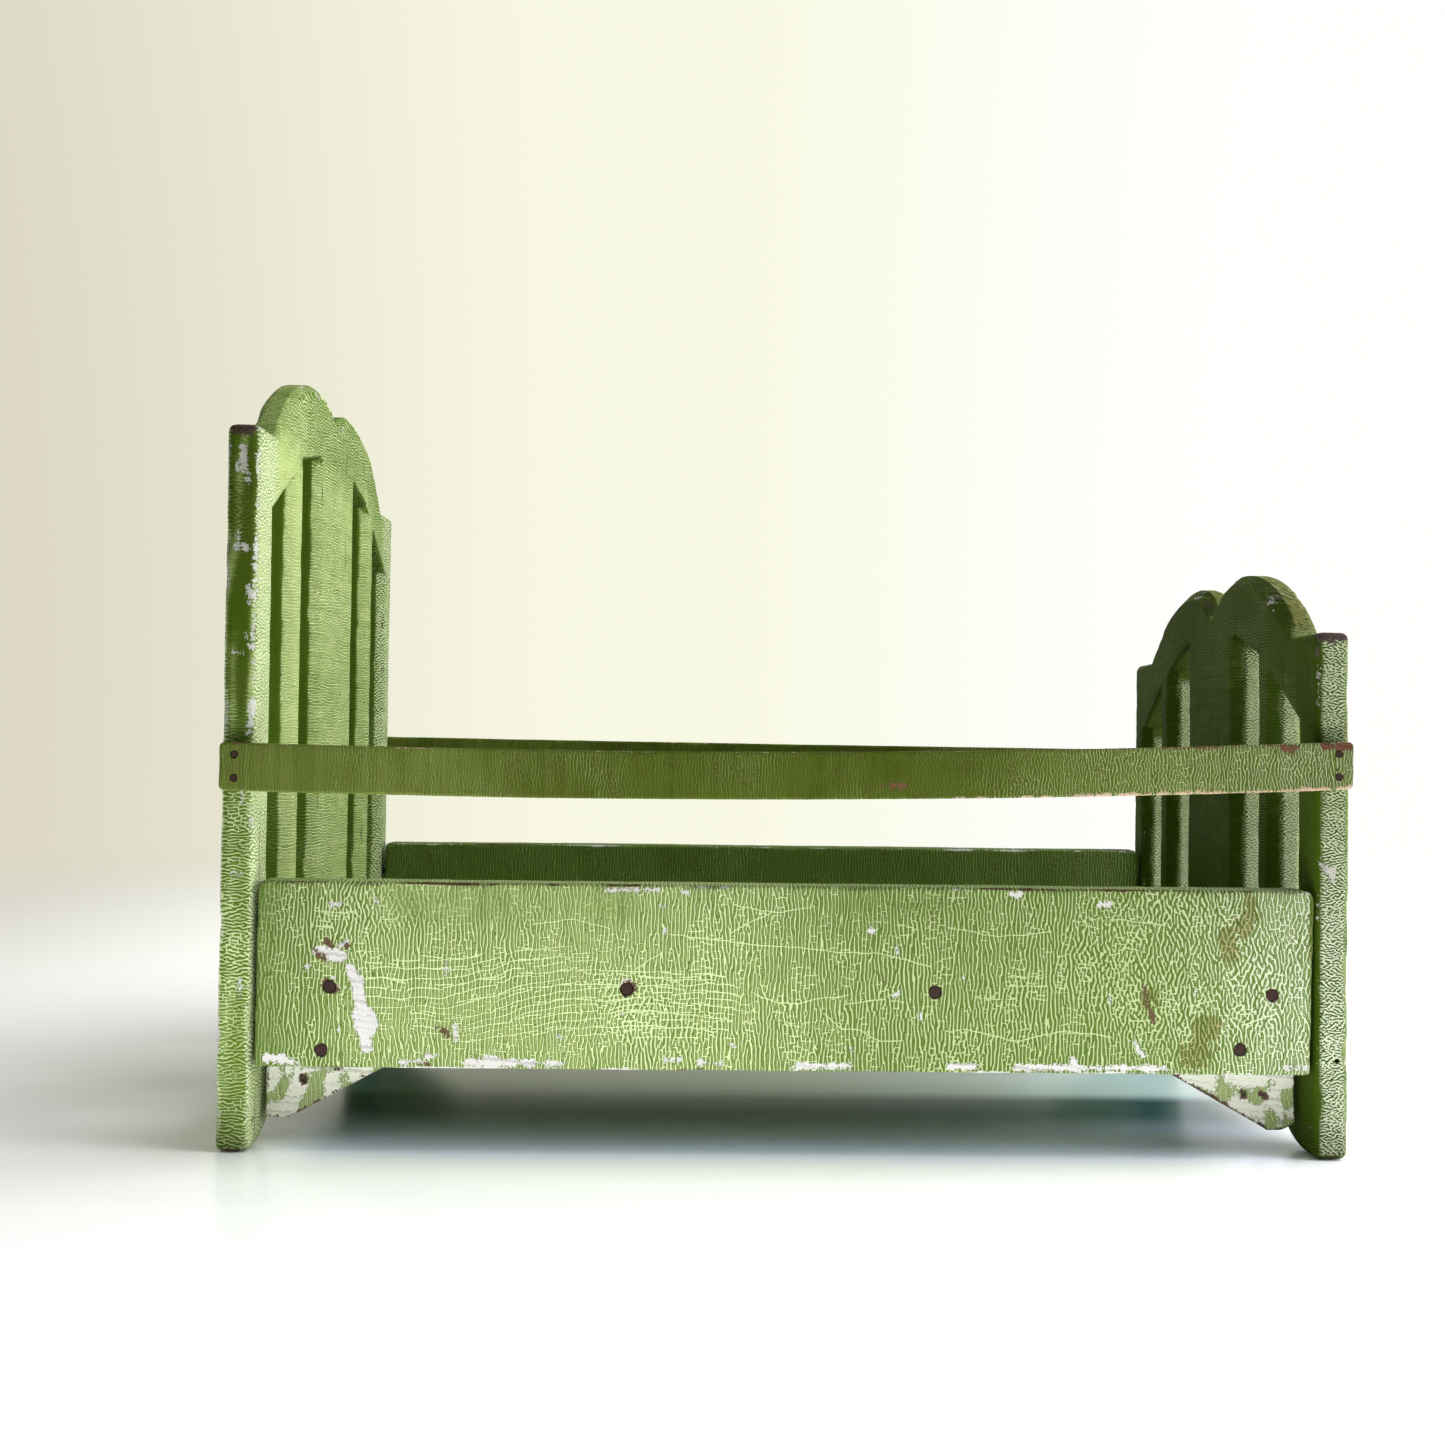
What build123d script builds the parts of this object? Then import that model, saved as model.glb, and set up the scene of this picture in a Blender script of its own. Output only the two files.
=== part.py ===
"""Vintage wooden doll bed, sawn from boards of one thickness and nailed together.

Millimetres. +Z is up, +X points to the foot end, and the front side is at -Y.
The origin is on the floor, under the middle of the bed.
"""
import os

from build123d import *

# Overall sizes
bed_length = 415.3
bed_width = 217.0
stock = 12.7

# Outline of the head and foot boards
head_shoulder_height = 266.5
foot_shoulder_height = 195.0
head_lobe_rise = 33.0
foot_lobe_rise = 30.5
head_cleft_depth = 11.0
foot_cleft_depth = 13.0
shoulder_width = 25.5
crest_from_middle = 26.0
head_leg_width = 32.0
foot_leg_width = 39.0
head_leg_round = 25.0
foot_leg_round = 29.0
arch_round = 9.0
outline_corner_round = 3.4
cleft_round = 2.0
board_edge_round = 2.8

# Slots in the head and foot boards
outer_slot_from_edge = 17.0
slot_width = 25.0
bar_width = 13.5
slot_above_bottom_board = 9.0
inner_slot_below_crest = 35.5
head_inner_slot_slant = 6.0
foot_inner_slot_slant = 9.5
head_outer_slot_below_shoulder = 29.0
foot_outer_slot_below_shoulder = 32.5
head_outer_slot_slant = 16.0
foot_outer_slot_slant = 19.0
slot_corner_round = 2.0
slot_edge_round = 1.3

# Side boards, whose ends are sawn a little out of square
side_board_above_floor = 31.0
side_board_width = 68.0
head_gap_at_top = 1.5
head_gap_at_bottom = 0.4
foot_gap_at_top = 0.3
foot_gap_at_bottom = 1.6
side_board_head_corner_round = 2.4
side_board_foot_corner_round = 3.8
side_board_low_corner_round = 1.6
side_board_edge_round = 1.2

# Bottom board and the gussets under it
bottom_board_above_side_edge = 23.2
gusset_end_gap = 2.0
head_gusset_reach = 92.6
foot_gusset_reach = 94.9
head_gusset_above_floor = 9.6
foot_gusset_above_floor = 7.6
head_gusset_tip_flat = 9.0
foot_gusset_tip_flat = 10.5
head_gusset_tip_round = 2.2
foot_gusset_tip_round = 6.5
gusset_edge_round = 1.0

# Rails: thin laths across the edges of the end boards
rail_width = 17.6
rail_thickness = 4.4
rail_short_of_end = 0.8
front_rail_head_height = 149.3
front_rail_foot_height = 154.2
front_rail_sag = 3.6
rear_rail_head_height = 153.3
rear_rail_foot_height = 151.1
rear_rail_sag = 0.4
rail_corner_round = 2.0
rail_edge_round = 0.8

# Nails, with the hole that each one leaves in the wood
nail_length = 32.0
nail_diameter = 2.2
nail_head_diameter = 4.8
nail_head_thickness = 0.9
nail_sunk = 0.5
brad_length = 16.0
brad_diameter = 1.3
brad_head_diameter = 2.8
brad_head_thickness = 0.6
brad_sunk = 0.2
hole_clearance = 0.05
nail_point_share = 1.4
cut_overrun = 1.0

# Where the nails sit
bottom_nail_length_shares = (-0.855, -0.300, 0.280, 0.918)
head_gusset_nail_from_board = 25.6
foot_gusset_nail_from_board = 27.9
head_gusset_nail_height_share = 0.28
foot_gusset_nail_height_share = 0.41
gusset_nail_short_of_back = 1.4
side_end_nail_width_shares = (0.22, 0.78)
bottom_end_nail_width_shares = (-0.45, 0.45)
bottom_gusset_nail_from_board = 40.0
upper_brad_below_rail_top = 4.5
brad_spacing = 8.5

# Old nail holes left open in the front legs and front gussets
old_hole_diameter = 1.9
old_hole_depth = 5.0
leg_hole_from_edge = 5.0
leg_hole_above_floor = 11.0
foot_edge_hole_above_floor = 36.6
foot_edge_hole_from_outer_face = 4.8
head_gusset_hole_from_board = 16.0
foot_gusset_hole_from_board = 21.3
head_gusset_hole_above_tip = 14.4
foot_gusset_hole_above_tip = 13.7

# Places that follow from these sizes
half_length = bed_length / 2
half_width = bed_width / 2
inner_face = half_length - stock
side_inner_face = half_width - stock
side_board_top = side_board_above_floor + side_board_width
bottom_underside = side_board_above_floor + bottom_board_above_side_edge
bottom_top = bottom_underside + stock
nail_line_height = bottom_underside + stock / 2
ends = {"head": -1, "foot": 1}
sides = {"front": -1, "rear": 1}


def corners_at(flat, *places):
    """The corners of a flat shape nearest to the given places."""
    return [flat.vertices().sort_by_distance(place)[0] for place in places]


def outline_edges(solid, axis):
    """The edges round the outlines of a board's two faces, which look along an axis."""
    faces = solid.faces().sort_by(axis)
    return faces[0].outer_wire().edges() + faces[-1].outer_wire().edges()


def opening_edges(solid, axis):
    """The edges round the openings in a board's two faces, which look along an axis."""
    edges = ShapeList()
    for face in (solid.faces().sort_by(axis)[0], solid.faces().sort_by(axis)[-1]):
        for wire in face.inner_wires():
            edges += wire.edges()
    return edges


def standing(flat, side, outer, thickness):
    """A flat upright shape given its thickness, inwards from its outer face on one side."""
    front = -outer if side == "front" else outer - thickness
    return extrude(Plane.XZ.offset(-front - thickness) * flat, thickness)


def driven(profile, place):
    """A turned shape set at a place on the surface, along the way that a nail is driven."""
    at, direction = place
    return Plane(origin=at, z_dir=direction) * revolve(make_face(Plane.XZ * profile), Axis.Z)


def nail(place, length, diameter, head_diameter, head_thickness, sunk):
    """A round nail: its head, a little under the surface, its shank and its point."""
    shank = diameter / 2
    head = head_diameter / 2
    seat = sunk + head_thickness
    tip = sunk + length
    point = diameter * nail_point_share
    return driven(Polyline((0, sunk), (head, sunk), (head, seat), (shank, seat),
                           (shank, tip - point), (0, tip), close=True), place)


def nail_hole(place, length, diameter, head_diameter, head_thickness, sunk):
    """The hole round such a nail, open at the surface that the nail is driven into."""
    shank = diameter / 2 + hole_clearance
    head = head_diameter / 2 + hole_clearance
    seat = sunk + head_thickness
    tip = sunk + length
    point = diameter * nail_point_share
    return driven(Polyline((0, -cut_overrun), (head, -cut_overrun), (head, seat), (shank, seat),
                           (shank, tip - point), (0, tip + hole_clearance), close=True), place)


def old_hole(at, direction):
    """A hole that a lost nail left open, as deep as its named depth."""
    radius = old_hole_diameter / 2
    return driven(Polyline((0, -cut_overrun), (radius, -cut_overrun), (radius, old_hole_depth),
                           (0, old_hole_depth), close=True), (at, direction))


long_nail = (nail_length, nail_diameter, nail_head_diameter, nail_head_thickness, nail_sunk)
short_nail = (2 * stock - gusset_nail_short_of_back, *long_nail[1:])
brad = (brad_length, brad_diameter, brad_head_diameter, brad_head_thickness, brad_sunk)


def drilled(wood, places, sizes):
    """A wooden piece with the holes of the nails that reach it."""
    for place in places:
        wood = wood - nail_hole(place, *sizes)
    return wood


def nails(places, sizes):
    """A group of like nails, each a solid of its own."""
    return Compound([nail(place, *sizes).solid() for place in places])


def bottom_nail_places(side):
    """Nails in a line through a side board into the edge of the bottom board."""
    y = sides[side] * half_width
    return [((inner_face * share, y, nail_line_height), (0, -sides[side], 0))
            for share in bottom_nail_length_shares]


def gusset_nail_places(side, end):
    """One nail low down at an end of a side board, into the gusset behind it."""
    from_board, share = {"head": (head_gusset_nail_from_board, head_gusset_nail_height_share),
                         "foot": (foot_gusset_nail_from_board, foot_gusset_nail_height_share),
                         }[end]
    z = side_board_above_floor + bottom_board_above_side_edge * share
    at = (ends[end] * (inner_face - from_board), sides[side] * half_width, z)
    return [(at, (0, -sides[side], 0))]


def side_end_nail_places(side, end):
    """Nails through an end board into the end grain of a side board."""
    y = sides[side] * (half_width - stock / 2)
    return [((ends[end] * half_length, y, side_board_above_floor + side_board_width * share),
             (-ends[end], 0, 0)) for share in side_end_nail_width_shares]


def bottom_end_nail_places(end):
    """Nails through an end board into the end grain of the bottom board."""
    return [((ends[end] * half_length, side_inner_face * share, nail_line_height),
             (-ends[end], 0, 0)) for share in bottom_end_nail_width_shares]


def end_nail_places(end):
    """All the nails that are driven through the face of an end board."""
    places = bottom_end_nail_places(end)
    for side in sides:
        places += side_end_nail_places(side, end)
    return places


def bottom_gusset_nail_places(side, end):
    """A nail down through the bottom board into the upper edge of a gusset."""
    return [((ends[end] * (inner_face - bottom_gusset_nail_from_board),
              sides[side] * (side_inner_face - stock / 2), bottom_top), (0, 0, -1))]


def brad_places(side, end):
    """Two brads, one over the other, at an end of a rail."""
    rail_top = {("front", "head"): front_rail_head_height, ("front", "foot"): front_rail_foot_height,
                ("rear", "head"): rear_rail_head_height, ("rear", "foot"): rear_rail_foot_height,
                }[side, end]
    x = ends[end] * (half_length - stock / 2)
    y = sides[side] * (half_width + rail_thickness)
    upper = rail_top - upper_brad_below_rail_top
    return [((x, y, z), (0, -sides[side], 0)) for z in (upper, upper - brad_spacing)]


def end_board_outline(shoulder_height, lobe_rise, cleft_depth, leg_width, leg_round):
    """Half of the outline is drawn with compass arcs, and mirrored about the middle.

    Each lobe is two arcs that are level at its crest. Below, each leg's inner side is
    a large convex arc that runs into a small concave one at the arch between the legs.
    """
    crest_height = shoulder_height + lobe_rise
    cleft = (0, crest_height - cleft_depth)
    crest = (crest_from_middle, crest_height)
    lobe_end = (half_width - shoulder_width, shoulder_height)
    shoulder = (half_width, shoulder_height)
    leg_corner = (half_width, 0)
    leg_side = half_width - leg_width
    leg_flat_end = (leg_side + leg_round, 0)
    leg_bend = (leg_side, leg_round)
    arch_end = (leg_side - arch_round, leg_round + arch_round)
    arch_middle = (0, leg_round + arch_round)
    half = (TangentArc(crest, cleft, tangent=(-1, 0))
            + TangentArc(crest, lobe_end, tangent=(1, 0))
            + Polyline(lobe_end, shoulder, leg_corner, leg_flat_end)
            + TangentArc(leg_flat_end, leg_bend, tangent=(-1, 0))
            + TangentArc(leg_bend, arch_end, tangent=(0, 1))
            + Line(arch_end, arch_middle))
    outline = make_face(half + mirror(half, Plane.YZ))
    square_corners = [(side * half_width, height) for side in sides.values()
                      for height in (0, shoulder_height)]
    outline = fillet(corners_at(outline, *square_corners), outline_corner_round)
    return fillet(corners_at(outline, cleft), cleft_round)


def slot(side, from_edge, low_top, slant):
    """One sawn slot, whose top slants up towards the middle of the board."""
    outer = side * (half_width - from_edge)
    inner = side * (half_width - from_edge - slot_width)
    base = bottom_top + slot_above_bottom_board
    shape = make_face(Polyline((outer, base), (outer, low_top), (inner, low_top + slant),
                               (inner, base), close=True))
    return fillet(shape.vertices(), slot_corner_round)


def end_board(end, outline, outer_slot_top, outer_slant, inner_slot_top, inner_slant):
    """A head or foot board: one plank, sawn to its outline, slotted, eased and nailed."""
    inner_from_edge = outer_slot_from_edge + slot_width + bar_width
    for side in sides.values():
        outline -= slot(side, outer_slot_from_edge, outer_slot_top, outer_slant)
        outline -= slot(side, inner_from_edge, inner_slot_top, inner_slant)
    x = {"head": -half_length, "foot": inner_face}[end]
    board = extrude(Plane.YZ.offset(x) * outline, stock)
    board = fillet(outline_edges(board, Axis.X), board_edge_round)
    board = fillet(opening_edges(board, Axis.X), slot_edge_round)
    board = drilled(board, end_nail_places(end), long_nail)
    for side in sides:
        board = drilled(board, brad_places(side, end), brad)
    hole_at = (ends[end] * inner_face, -half_width + leg_hole_from_edge, leg_hole_above_floor)
    return board - old_hole(hole_at, (ends[end], 0, 0))


def headboard():
    """The tall board at the head end."""
    outline = end_board_outline(head_shoulder_height, head_lobe_rise, head_cleft_depth,
                                head_leg_width, head_leg_round)
    return end_board("head", outline,
                     head_shoulder_height - head_outer_slot_below_shoulder,
                     head_outer_slot_slant,
                     head_shoulder_height + head_lobe_rise - inner_slot_below_crest,
                     head_inner_slot_slant)


def footboard():
    """The low board at the foot end, with one more old hole in its front edge."""
    outline = end_board_outline(foot_shoulder_height, foot_lobe_rise, foot_cleft_depth,
                                foot_leg_width, foot_leg_round)
    board = end_board("foot", outline,
                      foot_shoulder_height - foot_outer_slot_below_shoulder,
                      foot_outer_slot_slant,
                      foot_shoulder_height + foot_lobe_rise - inner_slot_below_crest,
                      foot_inner_slot_slant)
    hole_at = (half_length - foot_edge_hole_from_outer_face, -half_width,
               foot_edge_hole_above_floor)
    return board - old_hole(hole_at, (0, 1, 0))


def side_board(side):
    """A long board on edge between the end boards, flush with their edges."""
    low_head = (-inner_face + head_gap_at_bottom, side_board_above_floor)
    low_foot = (inner_face - foot_gap_at_bottom, side_board_above_floor)
    top_foot = (inner_face - foot_gap_at_top, side_board_top)
    top_head = (-inner_face + head_gap_at_top, side_board_top)
    face = make_face(Polyline(low_head, low_foot, top_foot, top_head, close=True))
    face = fillet(corners_at(face, top_head), side_board_head_corner_round)
    face = fillet(corners_at(face, top_foot), side_board_foot_corner_round)
    face = fillet(corners_at(face, low_head, low_foot), side_board_low_corner_round)
    board = standing(face, side, half_width, stock)
    board = fillet(outline_edges(board, Axis.Y), side_board_edge_round)
    board = drilled(board, bottom_nail_places(side), long_nail)
    for end in ends:
        board = drilled(board, gusset_nail_places(side, end), short_nail)
        board = drilled(board, side_end_nail_places(side, end), long_nail)
    return board


def bottom_board():
    """The board that carries the mattress, let in between the side and end boards."""
    board = Pos(0, 0, nail_line_height) * Box(2 * inner_face, 2 * side_inner_face, stock)
    for side in sides:
        board = drilled(board, bottom_nail_places(side), long_nail)
        for end in ends:
            board = drilled(board, bottom_gusset_nail_places(side, end), long_nail)
    for end in ends:
        board = drilled(board, bottom_end_nail_places(end), long_nail)
    return board


def gusset(side, end):
    """A triangular plate behind a side board, which holds up a corner of the bottom."""
    reach, above_floor, tip_flat, tip_round, hole_from_board, hole_above_tip = {
        "head": (head_gusset_reach, head_gusset_above_floor, head_gusset_tip_flat,
                 head_gusset_tip_round, head_gusset_hole_from_board, head_gusset_hole_above_tip),
        "foot": (foot_gusset_reach, foot_gusset_above_floor, foot_gusset_tip_flat,
                 foot_gusset_tip_round, foot_gusset_hole_from_board, foot_gusset_hole_above_tip),
    }[end]
    near_x = ends[end] * (inner_face - gusset_end_gap)
    tip_x = ends[end] * (inner_face - gusset_end_gap - tip_flat)
    far_x = ends[end] * (inner_face - reach)
    face = make_face(Polyline((near_x, bottom_underside), (near_x, above_floor),
                              (tip_x, above_floor), (far_x, bottom_underside), close=True))
    face = fillet(corners_at(face, (near_x, above_floor), (tip_x, above_floor)), tip_round)
    plate = standing(face, side, side_inner_face, stock)
    free_edges = [edge for edge in outline_edges(plate, Axis.Y)
                  if edge.center().Z < bottom_underside - gusset_edge_round]
    plate = fillet(free_edges, gusset_edge_round)
    plate = drilled(plate, gusset_nail_places(side, end), short_nail)
    plate = drilled(plate, bottom_gusset_nail_places(side, end), long_nail)
    if side == "front":
        hole_at = (ends[end] * (inner_face - hole_from_board), -side_inner_face,
                   above_floor + hole_above_tip)
        plate = plate - old_hole(hole_at, (0, 1, 0))
    return plate


def rail(side):
    """A thin lath nailed across the edges of both end boards, a little bowed downwards."""
    head_height, foot_height, sag = {
        "front": (front_rail_head_height, front_rail_foot_height, front_rail_sag),
        "rear": (rear_rail_head_height, rear_rail_foot_height, rear_rail_sag),
    }[side]
    end_x = half_length - rail_short_of_end
    bend = (head_height + foot_height) / 2 - 2 * sag
    top = Bezier((-end_x, head_height), (0, bend), (end_x, foot_height))
    low = Bezier((-end_x, head_height - rail_width), (0, bend - rail_width),
                 (end_x, foot_height - rail_width))
    face = make_face(top + low + Line(top @ 0, low @ 0) + Line(top @ 1, low @ 1))
    face = fillet(face.vertices(), rail_corner_round)
    lath = standing(face, side, half_width + rail_thickness, rail_thickness)
    lath = fillet(outline_edges(lath, Axis.Y), rail_edge_round)
    for end in ends:
        lath = drilled(lath, brad_places(side, end), brad)
    return lath


def all_pieces():
    """Every separate piece of the bed, by name."""
    pieces = {"headboard": headboard(), "footboard": footboard(), "bottom_board": bottom_board()}
    for side in sides:
        pieces[f"{side}_side_board"] = side_board(side)
        pieces[f"{side}_rail"] = rail(side)
        pieces[f"{side}_bottom_nails"] = nails(bottom_nail_places(side), long_nail)
        pieces[f"{side}_gusset_nails"] = nails(
            [place for end in ends for place in gusset_nail_places(side, end)], short_nail)
        pieces[f"{side}_rail_brads"] = nails(
            [place for end in ends for place in brad_places(side, end)], brad)
        for end in ends:
            pieces[f"{end}_{side}_gusset"] = gusset(side, end)
    for end in ends:
        pieces[f"{end}_end_nails"] = nails(end_nail_places(end), long_nail)
    pieces["bottom_gusset_nails"] = nails(
        [place for side in sides for end in ends
         for place in bottom_gusset_nail_places(side, end)], long_nail)
    return pieces


os.makedirs("parts", exist_ok=True)
for name, piece in all_pieces().items():
    export_step(piece, f"parts/{name}.step")
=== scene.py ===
import math

import bpy
import numpy as np
from mathutils import Matrix, Vector


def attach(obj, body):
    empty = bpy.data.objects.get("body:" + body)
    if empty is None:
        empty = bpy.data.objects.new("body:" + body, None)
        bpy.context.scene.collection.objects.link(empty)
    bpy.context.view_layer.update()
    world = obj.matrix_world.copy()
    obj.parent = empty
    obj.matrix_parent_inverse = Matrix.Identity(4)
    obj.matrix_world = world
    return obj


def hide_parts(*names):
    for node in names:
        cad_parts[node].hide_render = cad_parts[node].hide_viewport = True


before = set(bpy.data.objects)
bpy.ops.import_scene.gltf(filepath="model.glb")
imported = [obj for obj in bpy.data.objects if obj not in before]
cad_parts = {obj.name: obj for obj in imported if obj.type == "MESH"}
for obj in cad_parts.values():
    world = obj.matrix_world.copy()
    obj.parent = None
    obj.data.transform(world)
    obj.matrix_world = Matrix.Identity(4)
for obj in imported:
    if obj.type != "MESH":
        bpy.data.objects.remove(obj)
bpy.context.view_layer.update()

mm = 0.001

# Camera
# A phone's main lens, held low in front of the bed and a little left of its middle.
# Its place, turn, tilt and roll were found from the edges of the boards in the photograph.
photo_width = 1445
focal_pixels = 1391
camera_place = Vector((-0.0323, -0.6186, 0.1488))
camera_turn_right = math.radians(0.863)
camera_tilt_up = math.radians(1.087)
camera_roll = math.radians(0.681)

camera_data = bpy.data.cameras.new("camera")
camera_data.sensor_width = 36
camera_data.lens = camera_data.sensor_width * focal_pixels / photo_width
camera_data.clip_start = 10 * mm
camera = bpy.data.objects.new("camera", camera_data)
bpy.context.collection.objects.link(camera)
forward = Vector((math.sin(camera_turn_right) * math.cos(camera_tilt_up),
                  math.cos(camera_turn_right) * math.cos(camera_tilt_up),
                  math.sin(camera_tilt_up)))
level_right = Vector((math.cos(camera_turn_right), -math.sin(camera_turn_right), 0))
level_up = level_right.cross(forward)
right = math.cos(camera_roll) * level_right + math.sin(camera_roll) * level_up
up = right.cross(forward)
camera.matrix_world = Matrix.Translation(camera_place) @ Matrix(
    (right, up, -forward)).transposed().to_4x4()
bpy.context.scene.camera = camera
bpy.context.scene.view_settings.view_transform = "Standard"

# Studio
# A glossy white table top that fades into the pale backdrop. The camera alone sees it
# brighter in the open, where a painted glow lifts it further, with painted shade dimming it
# on the left, and with a painted shadow under the bed, deep and bluish.
table_reach = 2.6
table_fade = (0.75, 1.7)
table_white = (0.86, 0.86, 0.87, 1)
table_seen = (1.60, 1.64, 1.70, 1)
table_painted_glow = 0.34
painted_glow_border = (0.02, 0.34)
painted_dimming_on_left = (-0.75, -0.12)
left_painted_light_share = 0.50
painted_shadow_half_size = (0.175, 0.088, 0)
painted_shadow_border = 0.035
painted_shadow_front = (1.35, 1.55, 2.35, 1)
front_to_middle = (-0.095, -0.042)
painted_shadow_middle = (0.07, 0.20, 0.26, 1)
middle_to_back = (-0.026, -0.006)
painted_shadow_back_left = (0.38, 0.62, 0.72, 1)
painted_shadow_back_right = (1.3, 1.7, 2.0, 1)
back_left_to_right = (-0.12, 0.15)


class Value:
    """The number, colour or place that a shader node gives.

    Its sums, differences and products with numbers or other Values are new nodes.
    """

    def __init__(self, socket):
        self.socket = socket
        self.tree = socket.id_data

    def output(self, name):
        """Another output of the same node."""
        return Value(self.socket.node.outputs[name])

    def math(self, operation, second=0.0, third=0.0):
        """The result of one arithmetic node."""
        return add(self.tree, "Math", {"operation": operation}, i0=self, i1=second, i2=third)

    def vector(self, operation, other=(0, 0, 0)):
        """The result of one arithmetic node for places."""
        output = "Value" if operation in ("LENGTH", "DOT_PRODUCT") else 0
        return add(self.tree, "VectorMath", {"operation": operation}, output, i0=self, i1=other)

    def ramp(self, low, high, out_low=0.0, out_high=1.0):
        """A smooth step: out_low below low, out_high above high."""
        return add(self.tree, "MapRange", {"interpolation_type": "SMOOTHSTEP"},
                   i0=self, i1=low, i2=high, i3=out_low, i4=out_high)

    def __add__(self, other):
        return self.math("ADD", other)

    def __mul__(self, other):
        return self.math("MULTIPLY", other)

    def __sub__(self, other):
        return self.math("SUBTRACT", other)

    def __rsub__(self, other):
        return self.math("MULTIPLY_ADD", -1.0, other)

    __radd__, __rmul__ = __add__, __mul__


def add(tree, kind, settings=(), output=0, **inputs):
    """An output of a new shader node, with its settings and input sockets filled in.

    An input is a number, a colour, a place or a Value. Its name is the socket's, with _
    for a space, or i0, i1 and so on for a socket's number.
    """
    made = tree.nodes.new("ShaderNode" + kind)
    for key, value in dict(settings).items():
        setattr(made, key, value)
    for key, value in inputs.items():
        number = key[1:] if key[0] == "i" and key[1:].isdigit() else ""
        socket = made.inputs[int(number)] if number else made.inputs[key.replace("_", " ")]
        if isinstance(value, Value):
            tree.links.new(value.socket, socket)
        else:
            socket.default_value = value
    return Value(made.outputs[output]) if made.outputs else None


def mixed(share, first, second, blend="MIX"):
    """Two colours mixed by a share. At least one of the three is a Value."""
    tree = next(value.tree for value in (share, first, second) if isinstance(value, Value))
    return add(tree, "Mix", {"data_type": "RGBA", "blend_type": blend}, 2, i0=share,
               i6=first, i7=second)


def empty_material(name):
    """A new material with nothing in its node tree, and its tree."""
    made = bpy.data.materials.new(name)
    made.use_nodes = True
    made.node_tree.nodes.clear()
    return made, made.node_tree


def make_piece(name, places, faces):
    """A mesh object at the origin, with smooth faces."""
    mesh = bpy.data.meshes.new(name)
    mesh.from_pydata(places.tolist(), [], faces)
    mesh.shade_smooth()
    piece = bpy.data.objects.new(name, mesh)
    bpy.context.collection.objects.link(piece)
    return piece


corners = np.array([(-1, -1, 0), (1, -1, 0), (1, 1, 0), (-1, 1, 0)]) * table_reach
table = make_piece("table_top", corners, [(0, 1, 2, 3)])
table_material, tree = empty_material("white_table")
for_camera = add(tree, "LightPath", output="Is Camera Ray")
place = add(tree, "TexCoord", output="Object")
along_bed = add(tree, "SeparateXYZ", output="X", i0=place)
across_bed = along_bed.output("Y")
past_painted_shadow = place.vector("ABSOLUTE").vector("SUBTRACT", painted_shadow_half_size)
off_bed = past_painted_shadow.vector("MAXIMUM", (0, 0, 0)).vector("LENGTH")
# Painted shade: the table dims towards the left.
painted_light_share = along_bed.ramp(*painted_dimming_on_left, left_painted_light_share, 1.0)
# Painted shadow under the bed, seen by the camera alone: pale at the front, deep in the middle, and
# lighter behind, most of all on the right.
shade = mixed(across_bed.ramp(*front_to_middle), painted_shadow_front, painted_shadow_middle)
painted_shadow_back = mixed(along_bed.ramp(*back_left_to_right), painted_shadow_back_left,
                        painted_shadow_back_right)
shade = mixed(across_bed.ramp(*middle_to_back), shade, painted_shadow_back)
shown = mixed(off_bed.ramp(0.0, painted_shadow_border), shade, table_seen)
shown = mixed(1.0, shown, painted_light_share, "MULTIPLY")
matt = add(tree, "BsdfDiffuse", Color=mixed(for_camera, table_white, shown))
gloss = add(tree, "BsdfGlossy", Color=(1, 1, 1, 1), Roughness=0.2)
lacquer = add(tree, "MixShader", i0=add(tree, "Fresnel", IOR=1.4), i1=matt, i2=gloss)
# A painted glow, seen by the camera alone, stronger away from the bed.
painted_glow = add(tree, "Emission",
           Strength=for_camera * (off_bed.ramp(*painted_glow_border, 0.0, table_painted_glow) * painted_light_share))
lacquer = add(tree, "AddShader", i0=lacquer, i1=painted_glow)
faded = add(tree, "MixShader", i0=place.vector("LENGTH").ramp(*table_fade), i1=lacquer,
            i2=add(tree, "BsdfTransparent"))
add(tree, "OutputMaterial", Surface=faded)
table.data.materials.append(table_material)

# Backdrop and lights
# The wall is far off, with the window's light painted on it: warm grey on the left, and
# cream to white towards the window on the right. The window's light comes in low and high
# from there, and the bright table glows on to the front of the bed from below.
wall_left = (0.70, 0.665, 0.53, 1)
left_to_middle = (-0.52, -0.05)
wall_middle = (0.94, 0.945, 0.77, 1)
middle_to_right = (-0.02, 0.34)
wall_right = (1.0, 1.0, 0.98, 1)
room_light = (1.0, 0.99, 0.96, 1)
room_strength = 0.05
window_light = (1.0, 0.99, 0.95)
bed_middle = (0, 0, 0.12)

world = bpy.data.worlds.new("studio")
world.use_nodes = True
tree = world.node_tree
tree.nodes.clear()
direction = add(tree, "TexCoord", output="Generated")
sideways = add(tree, "SeparateXYZ", output="X", i0=direction)
wall = mixed(sideways.ramp(*left_to_middle), wall_left, wall_middle)
wall = mixed(sideways.ramp(*middle_to_right), wall, wall_right)
ray = add(tree, "LightPath", output="Is Camera Ray")
shown = ray.math("MAXIMUM", ray.output("Is Glossy Ray").math(
    "MAXIMUM", ray.output("Is Transmission Ray")))
ambient = add(tree, "Background", Color=room_light, Strength=room_strength)
seen = add(tree, "Background", Color=wall, Strength=1.0)
add(tree, "OutputWorld", Surface=add(tree, "MixShader", i0=shown, i1=ambient, i2=seen))
bpy.context.scene.world = world


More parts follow.
